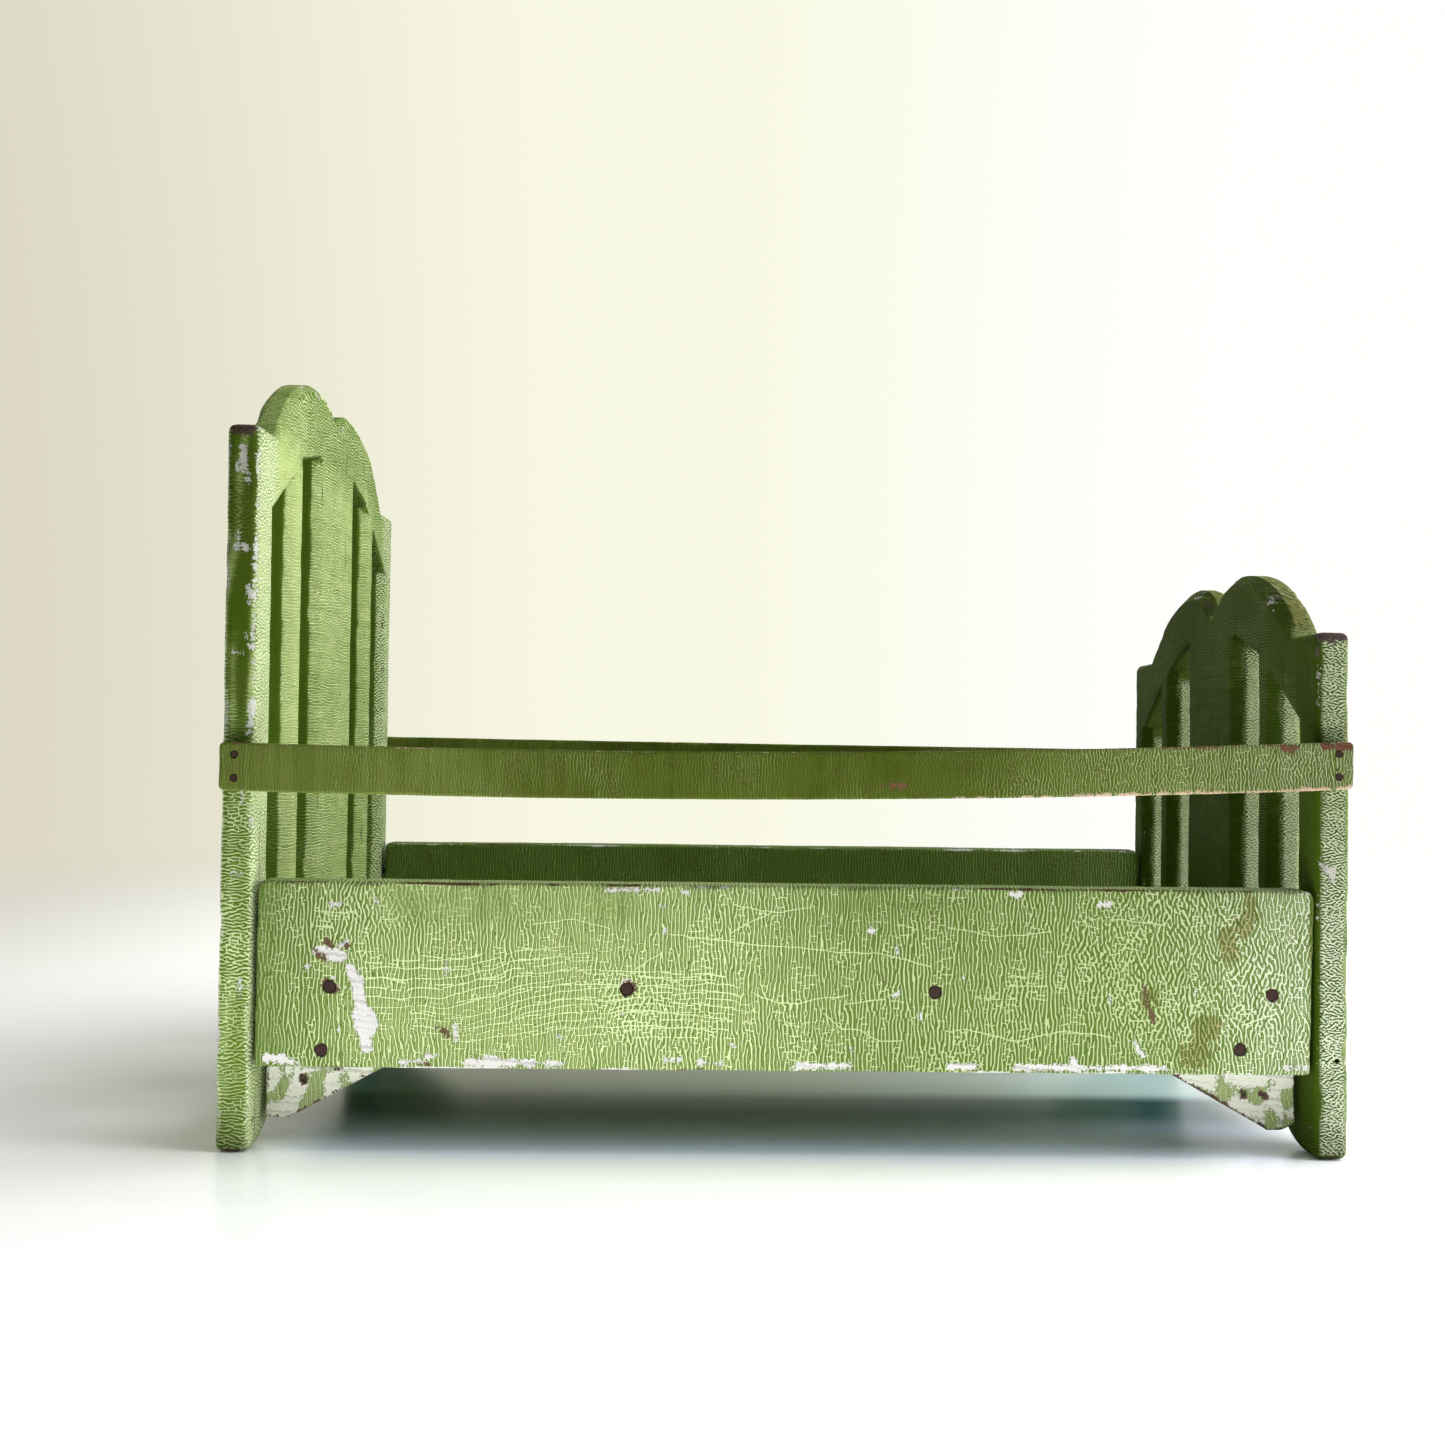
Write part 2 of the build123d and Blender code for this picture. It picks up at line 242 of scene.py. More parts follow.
def soft_lamp(name, place, aim, width, height, watts, colour=(1, 1, 1)):
    """A rectangular lamp that looks at a point, and isn't seen itself."""
    data = bpy.data.lights.new(name, "AREA")
    data.shape = "RECTANGLE"
    data.size = width
    data.size_y = height
    data.energy = watts
    data.color = colour
    lamp = bpy.data.objects.new(name, data)
    lamp.location = place
    lamp.rotation_euler = (Vector(aim) - Vector(place)).to_track_quat("-Z", "Y").to_euler()
    lamp.visible_camera = False
    bpy.context.collection.objects.link(lamp)
    return lamp


soft_lamp("window", (1.66, -0.05, 0.45), bed_middle, 0.9, 0.8, 18, window_light)
soft_lamp("window_front", (1.49, -0.40, 0.82), bed_middle, 0.8, 0.8, 9, window_light)
soft_lamp("window_top", (0.55, 0.0, 1.66), bed_middle, 0.9, 0.9, 13)
soft_lamp("room", (-1.34, -0.3, 1.15), bed_middle, 0.8, 0.8, 1.5)
glow = soft_lamp("table_glow", (-0.03, -0.2, 0.003), (-0.03, -0.199, 1), 0.60, 0.13, 0.69)
glow.visible_glossy = False

# Headboard
# One plank on end, sawn to a two-lobed crest with four slots, its edges rubbed round by
# hand. Its green oil paint has crazed in fine lines across the grain, and has worn down
# to the white undercoat and the brown wood along the edges.
board_thickness = 12.7 * mm
outer_face = 207.65 * mm
inner_face = outer_face - board_thickness
half_width = 108.5 * mm
shoulder_width = 25.5 * mm
crest_from_middle = 26.0 * mm
slot_edges = (28.0 * mm, 53.0 * mm, 66.5 * mm, 91.5 * mm)
slot_base = 75.9 * mm
slot_edge_round = 1.6 * mm
slot_bevel = 4.4 * mm
arch_round = 9.0 * mm
arch_clear = 42 * mm
outline_corner_round = 3.4 * mm
board_edge_round = 2.8 * mm
head_crest = 299.5 * mm
head_shoulder = 266.5 * mm
paint_thickness = 0.16 * mm
nail_head = 4.8 * mm
nail_sunk = 0.5 * mm
# A hole's radius, its depth, and how far the rings of faces round it reach.
nail_hole = (nail_head / 2 + 0.15 * mm, nail_sunk + 1.0 * mm, 4.6 * mm)
old_nail_hole = (0.95 * mm, 4 * mm, 2.8 * mm)
# The places of nails are in millimetres.
bottom_nail_height = 60.55

undercoat = (0.76, 0.75, 0.735)
brown_wood = (0.10, 0.062, 0.05)
grime_and_shade_brown = (0.62, 0.53, 0.38, 1)
pale_dust_and_light = (0.78, 0.84, 0.74, 1)
split_dark = (0.012, 0.016, 0.006, 1)


def step_up(value, low, high):
    """A smooth step from 0 at low to 1 at high."""
    share = np.clip((value - low) / (high - low), 0, 1)
    return share * share * (3 - 2 * share)


def stations(breaks, step, crowd):
    """Grid lines from the first break to the last, crowded beside each break."""
    found = []
    for start, end in zip(breaks[:-1], breaks[1:]):
        painted_crack_shade = np.array([offset for offset in crowd if offset < (end - start) * 0.4])
        reach = painted_crack_shade[-1] if len(painted_crack_shade) else 0
        count = max(1, round((end - start - 2 * reach) / step))
        inner = np.linspace(start + reach, end - reach, count + 1)
        found += [[start], start + painted_crack_shade[:-1], inner, (end - painted_crack_shade[:-1])[::-1]]
    found.append([breaks[-1]])
    return np.unique(np.round(np.concatenate(found), 7))


def unevenness(places, size, seed):
    """Smooth noise, mostly between -1 and 1: a sum of sine waves about a size in mm long."""
    random = np.random.default_rng(seed)
    waves = random.normal(size=(14, 3))
    waves /= np.linalg.norm(waves, axis=1, keepdims=True)
    waves *= 2 * np.pi / (size * mm * random.uniform(0.6, 1.6, size=(14, 1)))
    phases = random.uniform(0, 2 * np.pi, size=14)
    return np.sin(places[:, :3] @ waves.T + phases).sum(axis=1) / 5


def distance_from_edge(across, along, boundary):
    """How far each grid point is from the nearest boundary point, up to nine points off.

    Each point hands the boundary point nearest to it on to its neighbours, nine times.
    """
    near_across = np.where(boundary, across, np.inf)
    near_along = np.where(boundary, along, np.inf)
    best = np.where(boundary, 0.0, np.inf)
    for _ in range(9):
        for axis, step in ((0, 1), (0, -1), (1, 1), (1, -1)):
            other_across = np.roll(near_across, step, axis)
            other_along = np.roll(near_along, step, axis)
            other = np.hypot(across - other_across, along - other_along)
            nearer = other < best
            best = np.where(nearer, other, best)
            near_across = np.where(nearer, other_across, near_across)
            near_along = np.where(nearer, other_along, near_along)
    return np.minimum(best, 8 * mm)


def grid_board(across, along, present, thickness, edge_round, layers, facet=0.0,
               back_round=None):
    """A closed board from a grid of places on its face, and the grid squares that it has.

    Near its outline each face sinks along a quarter circle of the edge's radius, the
    first face along a knife-cut slope where facet is 1, and walls of some layers join the
    two. A place is (across, along, depth, distance from the outline).
    """
    padded = np.pad(present, 1)
    square_count = (padded[:-1, :-1].astype(int) + padded[1:, :-1] + padded[:-1, 1:]
                    + padded[1:, 1:])
    used = square_count > 0
    boundary = used & (square_count < 4)
    distance = distance_from_edge(across, along, boundary)
    sinks = []
    for radius, slope in ((edge_round, facet),
                          (edge_round if back_round is None else back_round, 0.0)):
        rise = np.maximum(radius - distance, 0)
        curve = radius - np.sqrt(np.maximum(radius ** 2 - rise ** 2, 0))
        sinks.append(curve + slope * (rise - curve))
    low, high = sinks[0], thickness - sinks[1]
    front = np.full(across.shape, -1)
    front[used] = np.arange(used.sum())
    back = np.where(used, front + used.sum(), -1)
    rim = np.full(across.shape, -1)
    rim[boundary] = np.arange(boundary.sum())
    places = [np.stack([grid[used] for grid in (across, along, depth, distance)], 1)
              for depth in (low, high)]
    for layer in range(1, layers):
        depth = low + (high - low) * layer / layers
        places.append(np.stack([grid[boundary] for grid in (across, along, depth, distance)], 1))
    i, j = np.nonzero(present)
    quads = [np.stack([front[i, j], front[i + 1, j], front[i + 1, j + 1], front[i, j + 1]], 1),
             np.stack([back[i, j], back[i, j + 1], back[i + 1, j + 1], back[i + 1, j]], 1)]
    for (di, dj), ends in {
            (0, -1): ((0, 0), (1, 0)), (1, 0): ((1, 0), (1, 1)),
            (0, 1): ((1, 1), (0, 1)), (-1, 0): ((0, 1), (0, 0))}.items():
        bare = present[i, j] & ~padded[i + 1 + di, j + 1 + dj]
        lines = []
        for k, m in ends:
            at = (i[bare] + k, j[bare] + m)
            walls = [2 * used.sum() + (layer - 1) * boundary.sum() + rim[at]
                     for layer in range(1, layers)]
            lines.append([front[at], *walls, back[at]])
        for layer in range(layers):
            quads.append(np.stack([lines[1][layer], lines[0][layer], lines[0][layer + 1],
                                   lines[1][layer + 1]], 1))
    return np.concatenate(places), np.concatenate(quads)


def facing_out(places, quads):
    """The quads, all turned round if the volume inside them comes out negative."""
    first, second, third, fourth = (places[quads[:, k], :3] for k in range(4))
    volume = (first * np.cross(second, third)).sum() + (first * np.cross(third, fourth)).sum()
    return quads if volume > 0 else quads[:, ::-1]


def surface_normals(places, quads):
    """Unit normals of the vertices, from the diagonals of the quads round each."""
    normal = np.cross(places[quads[:, 2], :3] - places[quads[:, 0], :3],
                      places[quads[:, 3], :3] - places[quads[:, 1], :3])
    total = np.stack([np.bincount(quads.ravel(), np.repeat(normal[:, k], 4), len(places))
                      for k in range(3)], 1)
    return total / np.maximum(np.linalg.norm(total, axis=1, keepdims=True), 1e-12)


def rubbed_edges(normal, axis):
    """1 on a board's rounded edges and 0 on its faces, from the slant of the normals."""
    slant = normal[:, axis] ** 2
    return 2 * np.sqrt(np.clip(slant * (1 - slant), 0, 1))


def inside_strokes(places, strokes):
    """How far inside a set of round-ended strokes each place is, in millimetres.

    A stroke is two ends and a radius in millimetres. The value is the radius less the
    distance from the line between the ends, and the largest over all strokes.
    """
    best = np.full(len(places), -9.0)
    for x0, y0, z0, x1, y1, z1, radius in strokes:
        start, run = np.array((x0, y0, z0)), np.array((x1 - x0, y1 - y0, z1 - z0))
        offset = places[:, :3] / mm - start
        share = np.clip(offset @ run / max(run @ run, 1e-9), 0, 1)
        distance = np.linalg.norm(offset - share[:, None] * run, axis=1)
        best = np.maximum(best, radius - distance)
    return best


def weathered(places, quads, axis, waves, knocks, chips, seed):
    """Wears a new board down to an old one, always inwards.

    Long shallow waves and small dents go all over, ragged knocks along the rounded
    edges, and the paint's thickness comes off inside the chips.
    """
    normal = surface_normals(places, quads)
    depth = waves * (0.8 + unevenness(places, 70, seed) + 0.35 * unevenness(places, 17, seed + 1))
    depth += 0.03 * mm * (1 + unevenness(places, 4.5, seed + 2))
    ragged = unevenness(places, 19, seed + 3) + 0.35 * unevenness(places, 6, seed)
    depth += knocks * rubbed_edges(normal, axis) * np.maximum(ragged, 0)
    depth += paint_thickness * step_up(inside_strokes(places, chips), -0.3, 0.5)
    worn = places.copy()
    worn[:, :3] -= normal * np.maximum(depth, 0)[:, None]
    return worn


def drilled(places, quads, floors, holes, radius, depth, reach):
    """Cuts round holes: the quads near each give way to rings of quads.

    The rings run from the gap's square border in to the rim, and down the wall to a
    flat floor. A hole is its middle on the face, and the way into the piece.
    """
    for centre, inward in holes:
        centre, inward = np.array(centre), np.array(inward, float)
        first = np.roll(inward, 1)
        second = np.cross(-inward, first)
        offset = places[:, :3] - centre
        a, b, below = offset @ first, offset @ second, offset @ inward
        near = (np.maximum(np.abs(a), np.abs(b)) < reach) & (np.abs(below) < 2 * mm)
        gone = near[quads].all(axis=1)
        border = np.intersect1d(quads[gone], quads[~gone])
        border = border[np.argsort(np.arctan2(b[border], a[border]))]
        turn = np.arctan2(b[border], a[border])
        spokes = np.cos(turn)[:, None] * first + np.sin(turn)[:, None] * second
        level = below[border].mean()
        wobble = 1 + 0.05 * np.sin(3 * turn + 900 * centre.sum())
        rings = [border]
        for share, down, size in ((0.45, 0, 1), (0.8, 0, 1.02), (1, 0.02 * mm, 1.06),
                                  (1, 0.14 * mm, 1), (1, depth * 0.5, 1), (1, depth, 1)):
            ring = places[border].copy()
            target = centre + spokes * (radius * size * wobble)[:, None] + inward * (level + down)
            ring[:, :3] += share * (target - ring[:, :3])
            rings.append(len(places) + np.arange(len(ring)))
            places = np.concatenate([places, ring])
        walls = [np.stack([outer, np.roll(outer, -1), np.roll(inner, -1), inner], 1)
                 for outer, inner in zip(rings[:-1], rings[1:])]
        quads = np.concatenate([quads[~gone], *walls])
        floors = floors + [rings[-1]]
    return places, quads, floors


def make_painted(name, places, quads, floors, marks, material):
    """The mesh object of a piece. Its marks are kept as attributes of the mesh."""
    used = np.unique(quads)
    number = np.zeros(len(places), int)
    number[used] = np.arange(len(used))
    faces = number[quads].tolist() + [number[floor].tolist() for floor in floors]
    piece = make_piece(name, places[used, :3], faces)
    for mark, values in marks.items():
        attribute = piece.data.attributes.new(mark, "FLOAT", "POINT")
        attribute.data.foreach_set("value", np.ascontiguousarray(values[used], dtype=np.float32))
    piece.data.materials.append(material)
    return piece


def place_in_mm(tree):
    """The place on a piece, in millimetres."""
    return add(tree, "TexCoord", output="Object").vector("MULTIPLY", (1 / mm, 1 / mm, 1 / mm))


def along_line(place, direction, size):
    """The coordinate along a direction, in steps of a size in millimetres."""
    return place.vector("DOT_PRODUCT", tuple(value / size for value in direction))


def noise_of(place, size, detail=2.0):
    """Noise about 0, with the given size in millimetres, and its colour."""
    made = add(place.tree, "TexNoise", output="Fac", Vector=place, Scale=1 / size, Detail=detail,
               Roughness=0.55)
    return made - 0.5, made.output("Color")


def row_of_cracks(value, size, scatter):
    """Cracks one after another along a coordinate in steps of a size in millimetres.

    Returned is the distance from the nearest crack, in millimetres.
    """
    edge = add(value.tree, "TexVoronoi", {"voronoi_dimensions": "1D", "feature": "DISTANCE_TO_EDGE"},
               "Distance", W=value, Scale=1.0, Randomness=scatter)
    return edge * size


def worm_cracks(column, height, width, draw, wander):
    """Cracks that wander, fork and join, about a width apart across the columns.

    The Gabor texture's phase goes from 0 to 1 between two of them. Draw squeezes the
    heights, so that the cracks run on along them, and at a wander of 1 they are straight.
    Returned are the distance from the nearest crack, in millimetres, and the phase.
    """
    flat = add(column.tree, "CombineXYZ", X=column, Y=height * draw)
    waves = 2.0
    phase = add(column.tree, "TexGabor", output="Phase", Vector=flat, Scale=1 / (width * waves),
                Frequency=waves, Anisotropy=wander, Orientation=0.0)
    return phase.math("MINIMUM", 1.0 - phase) * width, phase


def rung_cracks(column, height, width, rung):
    """Short cracks across the long ones, at heights that differ from column to column.

    Returned are the distance from the nearest, and a random number for each column.
    """
    which = add(column.tree, "TexVoronoi", {"voronoi_dimensions": "1D"}, "Color", W=column,
                Scale=1 / width, Randomness=0.9)
    random = add(column.tree, "SeparateColor", output="Red", i0=which)
    return row_of_cracks(height * (1 / rung) + random * 37.0, rung, 1.0), random.output("Green")


def mark_of(tree, name):
    """A mark kept in the mesh."""
    return add(tree, "Attribute", {"attribute_name": name}, "Fac")


def scaled(colour, share=1.0):
    """A colour made darker or lighter, as a node takes it."""
    return (*(share * value for value in colour), 1)


def crossing_lines(tree, column, broad, medium, apart):
    """Long lines across the worm cracks, and single ones.

    Returned is the distance from the nearest, in millimetres. The long lines follow the
    mark "sweep" where "long" is high. A single one is where "line" is 0 and "on_line" 1.
    """
    sweep = mark_of(tree, "sweep") + 10.0 * broad + 0.9 * medium
    first, second = (
        row_of_cracks(value.math("DIVIDE", size), size, 0.9) + 0.7 * fader.ramp(0.02, 0.16)
        for value, size, fader in ((sweep, apart, medium),
                                   (sweep + 0.09 * column, 1.9 * apart, -1.0 * medium)))
    no_long = (mark_of(tree, "long") + 1.3 * medium).ramp(0.15, 0.75, 1.3, 0.0)
    single = 1.05 * (mark_of(tree, "line") + 1.4 * medium).math("ABSOLUTE")
    no_single = mark_of(tree, "on_line").ramp(0.2, 0.8, 3.0, 0.0)
    return (first.math("MINIMUM", second) + no_long).math("MINIMUM", single + no_single)


def upright_splits(place, bent, apart):
    """1 inside the short upright splits of the wood, which are some way apart."""
    present, _ = noise_of(place.vector("MULTIPLY", (1, 1, 0.13)), 4.0, 1.0)
    distance = row_of_cracks(along_line(bent, (0, 1, 0), apart), apart, 1.0)
    return distance.ramp(0.1, 0.4, 1.0, 0.0) * present.ramp(0.10, 0.17)


def streaked_undercoat(column, height, fine, colour):
    """The colour of the undercoat, with darker streaks across the worm cracks."""
    streak = add(fine.tree, "TexNoise", {"noise_dimensions": "1D"}, "Fac", Scale=1.0,
                 Detail=2.0, W=0.55 * height + 0.05 * column + 1.6 * fine)
    return mixed((streak + 0.4 * fine).ramp(0.26, 0.52), scaled(colour, 0.70), scaled(colour))


def crackled_paint(name, across, along, width, rung, draw, half_crack, colours, crossing=None,
                   bare=brown_wood, flaked=undercoat, checks=None):
    """Old oil paint, crazed into islands, over a white undercoat on brown wood.

    The colours are the islands' dark and middle green and the cracks' light green, and
    lengths are in millimetres. Worm cracks go along the direction "along", a width apart,
    with a rung between them now and then. Where crossing is given, long lines about that
    far apart cross them, and checks is how far apart the wood's short upright splits are.
    The mesh's marks say where things are. The cracks wander where "worm" is high, are weak
    where "faint" is, and turn over an edge by "turn". "deep" darkens the
    paint and its cracks: painted shade in recesses, under edges and on faces turned from the
    light, and in places the paint's own darker tone. "grime_and_shade" browns it, with grime
    and with painted shade. "dust_and_light" makes the cracks and the middle green paler,
    with dust and with painted light. The islands get painted shade beside the cracks and on
    one side, and a rim of it round the chips. The undercoat shows where "chip" is above 0,
    and the wood where "bare" is.
    """
    dark, middle_green, light = (scaled(colour) for colour in colours)
    material, tree = empty_material(name)
    place = place_in_mm(tree)
    broad, _ = noise_of(place, 34.0)
    fine, _ = noise_of(place, 0.8, 3.0)
    stretch = tuple(0.4 if value else 1.0 for value in along)
    medium, sway = noise_of(place.vector("MULTIPLY", stretch), 4.5)
    worm, deep, dust_and_light = (mark_of(tree, mark) for mark in ("worm", "deep", "dust_and_light"))
    bent = sway.vector("MULTIPLY", worm.ramp(0.15, 0.8, 0.35, 1.4)).vector("ADD", place)
    column = along_line(bent, across, 1.0) + mark_of(tree, "turn")
    height = along_line(bent, along, 1.0)
    wander = (worm + 0.35 * medium).ramp(0.1, 1.0, 0.98, 0.3)
    gap, phase = worm_cracks(column, height, width, draw, wander)
    rung_gap, island = rung_cracks(column, height, 1.3 * width, rung)
    gap = gap.math("MINIMUM", rung_gap + 0.5 * medium.ramp(-0.1, 0.1, 1.0, 0.0))
    if crossing:
        gap = gap.math("MINIMUM", crossing_lines(tree, column, broad, medium, crossing))
    gap = gap + 0.28 * fine + 0.25 * broad - 0.08 * worm
    strength = 1.0 - 0.85 * mark_of(tree, "faint") + 0.9 * broad + 0.8 * fine
    strength = strength.ramp(0.1, 1.0, 0.06, 1.0)
    crack = strength * gap.ramp(half_crack * 0.5, half_crack * 1.25, 1.0, 0.0)
    # A dark flank of painted shade beside each crack, as if the islands stood up in relief.
    painted_crack_shade = (gap.ramp(half_crack * 0.9, half_crack * 1.3)
              * gap.ramp(half_crack * 1.4, half_crack * 2.6, 1.0, 0.0))
    # The islands' tone varies at random. Painted shade darkens it where the mark says, and the phase
    # paints one side of each island darker, as painted relief shade.
    shade = (0.9 * medium + broad + 0.25 * island + 0.3 * phase + 1.6 * fine - 1.2 * deep
             - 1.1 * (painted_crack_shade * strength))
    # The paint and cracks are paler where dust lies and where light is painted on.
    paint = mixed(shade.ramp(-0.75, 0.75), dark, mixed(dust_and_light, middle_green, pale_dust_and_light))
    in_cracks = mixed(3.5 * dust_and_light, light, pale_dust_and_light)
    # Where shade is painted on, the cracks are darkened too.
    in_cracks = mixed(deep.ramp(0.1, 1.5), in_cracks, scaled(colours[1], 0.6))
    paint = mixed(crack, paint, in_cracks)
    if checks:
        split = upright_splits(place, bent, checks)
        paint = mixed(0.8 * split, paint, split_dark)
    # A brown stain: grime, and painted shade where the mark is put on shaded faces.
    stain = (mark_of(tree, "grime_and_shade") + 1.4 * fine + 1.6 * medium).ramp(0.35, 1.0)
    stain = stain * crack.ramp(0.0, 0.5, 0.6, 1.0)
    paint = mixed(stain, paint, mixed(1.0, paint, grime_and_shade_brown, "MULTIPLY"))
    ragged = 4.2 * fine + 1.8 * medium + 0.8 * island - 0.5
    torn = mark_of(tree, "chip") + ragged
    # A rim of painted shade round each chip, along the torn edge of the paint.
    paint = mixed(torn.ramp(-0.5, 0.0, 0.0, 0.45), paint, dark)
    chip = torn.ramp(-0.05, 0.05)
    flake = streaked_undercoat(column, height, fine, flaked)
    wood = mixed(fine.ramp(-0.25, 0.25), scaled(bare, 0.45), scaled(bare, 1.6))
    wood_share = (mark_of(tree, "bare") + ragged).ramp(-0.1, 0.15)
    colour = mixed(wood_share, mixed(chip, paint, flake), wood)
    off_paint = chip.math("MAXIMUM", wood_share)
    relief = (strength * gap.ramp(half_crack * 0.3, half_crack * 2.0) + 0.9 * fine
              + 0.6 * medium + 0.25 * phase)
    if checks:
        relief = relief - split
    relief = relief * (1.0 - off_paint) - 0.8 * off_paint
    bump = add(tree, "Bump", Height=relief, Distance=0.23 * mm, Strength=1.0)
    rough = (off_paint + 0.7 * fine + 0.3 * crack).ramp(-0.3, 1.0, 0.5, 0.9)
    shader = add(tree, "BsdfPrincipled", Base_Color=colour, Roughness=rough, Normal=bump,
                 Specular_IOR_Level=0.04)
    add(tree, "OutputMaterial", Surface=shader)
    return material


def paint_marks(places, quads, axis, wear, chips, bare, seed):
    """The marks that every painted piece has, before its own are added."""
    edge = wear * rubbed_edges(surface_normals(places, quads), axis)
    patch, spots = unevenness(places, 28, seed), unevenness(places, 7, seed + 1)
    chip = -2.1 + edge * (1.1 + 0.9 * patch) + 0.3 * spots
    brown = -2.3 + edge * (0.7 - 1.1 * patch) + 0.35 * spots
    return {
        "chip": np.maximum(chip, inside_strokes(places, chips)),
        "bare": np.maximum(brown, inside_strokes(places, bare)),
        "grime_and_shade": 0.12 + 0.12 * unevenness(places, 50, seed + 2),
        "worm": 0.3 + 0.22 * unevenness(places, 40, seed + 3),
        "long": np.full(len(places), -1.0),
        "sweep": places[:, 2] / mm,
        "deep": np.zeros(len(places)),
        "turn": np.zeros(len(places)),
        "faint": np.clip(0.25 + 0.25 * unevenness(places, 60, seed + 4), 0, 1),
    }


def eased_walls(places, quads, marks):
    """1 on the surfaces of an end board that face along the bed's width, up and down.

    The slots' edges aren't rubbed through, and the crackle turns over the level edges.
    """
    normal = surface_normals(places, quads)
    wall = step_up(np.abs(normal[:, 1]), 0.8, 0.95)
    marks["turn"] = normal[:, 2] ** 2 * (np.abs(places[:, 0]) - outer_face + 6 * mm) / mm
    in_slots = (np.abs(places[:, 1]) < 94 * mm) & (places[:, 2] > slot_base - 3 * mm)
    in_slots &= places[:, 2] < 0.91 * places[:, 2].max()
    marks["chip"] -= 1.6 * in_slots
    marks["bare"] -= 1.6 * in_slots
    return wall, step_up(normal[:, 2], 0.5, 0.8), step_up(-normal[:, 2], 0.3, 0.6)


def with_round_corners(across, along, half_length, low, high, low_round, high_rounds):
    """Bends the grid's square corners to quarter circles, and square rings to round ones."""
    for hand, high_round in zip((-1, 1), high_rounds):
        for height, way, radius in ((high, 1, high_round), (low, -1, low_round)):
            end = hand * half_length
            a = radius - hand * (end - across)
            b = radius - way * (height - along)
            inside = (a > 0) & (b > 0)
            ratio = np.maximum(a, b) / np.maximum(np.hypot(a, b), 1e-9)
            across, along = (np.where(inside, end - hand * (radius - a * ratio), across),
                             np.where(inside, height - way * (radius - b * ratio), along))
    return across, along


def end_outline(y, shoulder, crest, cleft_depth, leg_side, leg_round):
    """The heights of an end board's lower and upper outline, y from its middle.

    Each lobe is two compass arcs, level at the crest, and each leg's inner side is a
    convex and then a concave arc.
    """
    lobe_end = half_width - shoulder_width
    run, drop = lobe_end - crest_from_middle, crest - shoulder
    outer_radius = (run ** 2 + drop ** 2) / (2 * drop)
    inner_radius = (crest_from_middle ** 2 + cleft_depth ** 2) / (2 * cleft_depth)
    radius = np.where(y > crest_from_middle, outer_radius, inner_radius)
    from_crest = np.minimum(np.abs(y - crest_from_middle), radius)
    top = np.where(y > lobe_end, shoulder, crest - radius + np.sqrt(radius ** 2 - from_crest ** 2))
    flat_end = leg_side + leg_round
    convex = leg_round - np.sqrt(np.maximum(leg_round ** 2 - (flat_end - y) ** 2, 0))
    concave = leg_round + np.sqrt(np.maximum(arch_round ** 2 - (y - leg_side + arch_round) ** 2, 0))
    bottom = np.where(y >= flat_end, 0.0, np.where(y >= leg_side, convex, np.where(
        y >= leg_side - arch_round, concave, leg_round + arch_round)))
    return bottom, top


def end_board(side, shoulder, crest, cleft_depth, leg_width, leg_round, slot_tops, lobe_round):
    """The plank of the head end (side -1) or the foot end (side 1), as grid points.

    Columns go across the bed and rows go up in four zones: to above the arch, to the
    base of the slots, up the slots, and up to the outline. The slots' tops slant, and
    slot_tops are their heights at slot_edges.
    """
    crowd = np.array([0.25, 0.8, 1.6, 2.8]) * mm
    leg_side = half_width - leg_width
    half = stations([0.0, *slot_edges, half_width], 1.4 * mm, crowd)
    half = np.unique(np.concatenate([half, leg_side + np.array([-0.8, -0.25, 0, 0.25, 0.8]) * mm]))
    columns = np.concatenate([-half[::-1], half[1:]])
    y = np.abs(columns)
    bottom, top = end_outline(y, shoulder, crest, cleft_depth, leg_side, leg_round)
    slot_top = np.interp(y, slot_edges, slot_tops)
    levels = [bottom, np.full(len(y), arch_clear), np.full(len(y), slot_base), slot_top, top]
    rows = []
    for low, high in zip(levels[:-1], levels[1:]):
        tallest = (high - low).max()
        share = stations([0.0, tallest], 1.4 * mm, crowd) / tallest
        rows.append((low[:, None] + (high - low)[:, None] * share[None, :])[:, :-1])
    along = np.concatenate(rows + [top[:, None]], axis=1)
    across = np.repeat(columns[:, None], along.shape[1], axis=1)
    square_y = (y[:-1] + y[1:]) / 2
    in_slot = np.searchsorted(slot_edges, square_y) % 2 == 1
    first_row = rows[0].shape[1] + rows[1].shape[1]
    present = np.ones((across.shape[0] - 1, across.shape[1] - 1), bool)
    present[np.ix_(in_slot, range(first_row, first_row + rows[2].shape[1]))] = False
    across, along = with_round_corners(across, along, half_width, 0.0, shoulder,
                                       outline_corner_round, (outline_corner_round,) * 2)
    on_lobe = step_up(along, shoulder - 3 * mm, shoulder + 9 * mm)
    in_slots = ((along > slot_base - 4 * mm) & (along < slot_top[:, None] + 4 * mm)
                & (np.abs(across) < slot_edges[3] + 4 * mm))
    at_wall = np.zeros(across.shape, bool)
    for low, high in (slot_edges[:2], slot_edges[2:]):
        at_wall |= (np.abs(across - high) < slot_bevel) | (np.abs(across + low) < slot_bevel)
    at_wall &= (along > slot_base + 0.5 * mm) & (along < slot_top[:, None] - 0.5 * mm)
    edge_round = board_edge_round + (lobe_round - board_edge_round) * on_lobe
    edge_round = np.where(at_wall, slot_bevel, np.where(in_slots, slot_edge_round, edge_round))
    facet = np.where(at_wall, 0.7, np.where(in_slots, 0.0, on_lobe))
    back_round = np.where(in_slots, slot_edge_round, board_edge_round)
    flat, quads = grid_board(across, along, present, board_thickness, edge_round, 9, facet,
                             back_round)
    places = np.stack([side * (inner_face + flat[:, 2]), flat[:, 0], flat[:, 1], flat[:, 3]], 1)
    return places, facing_out(places, quads)


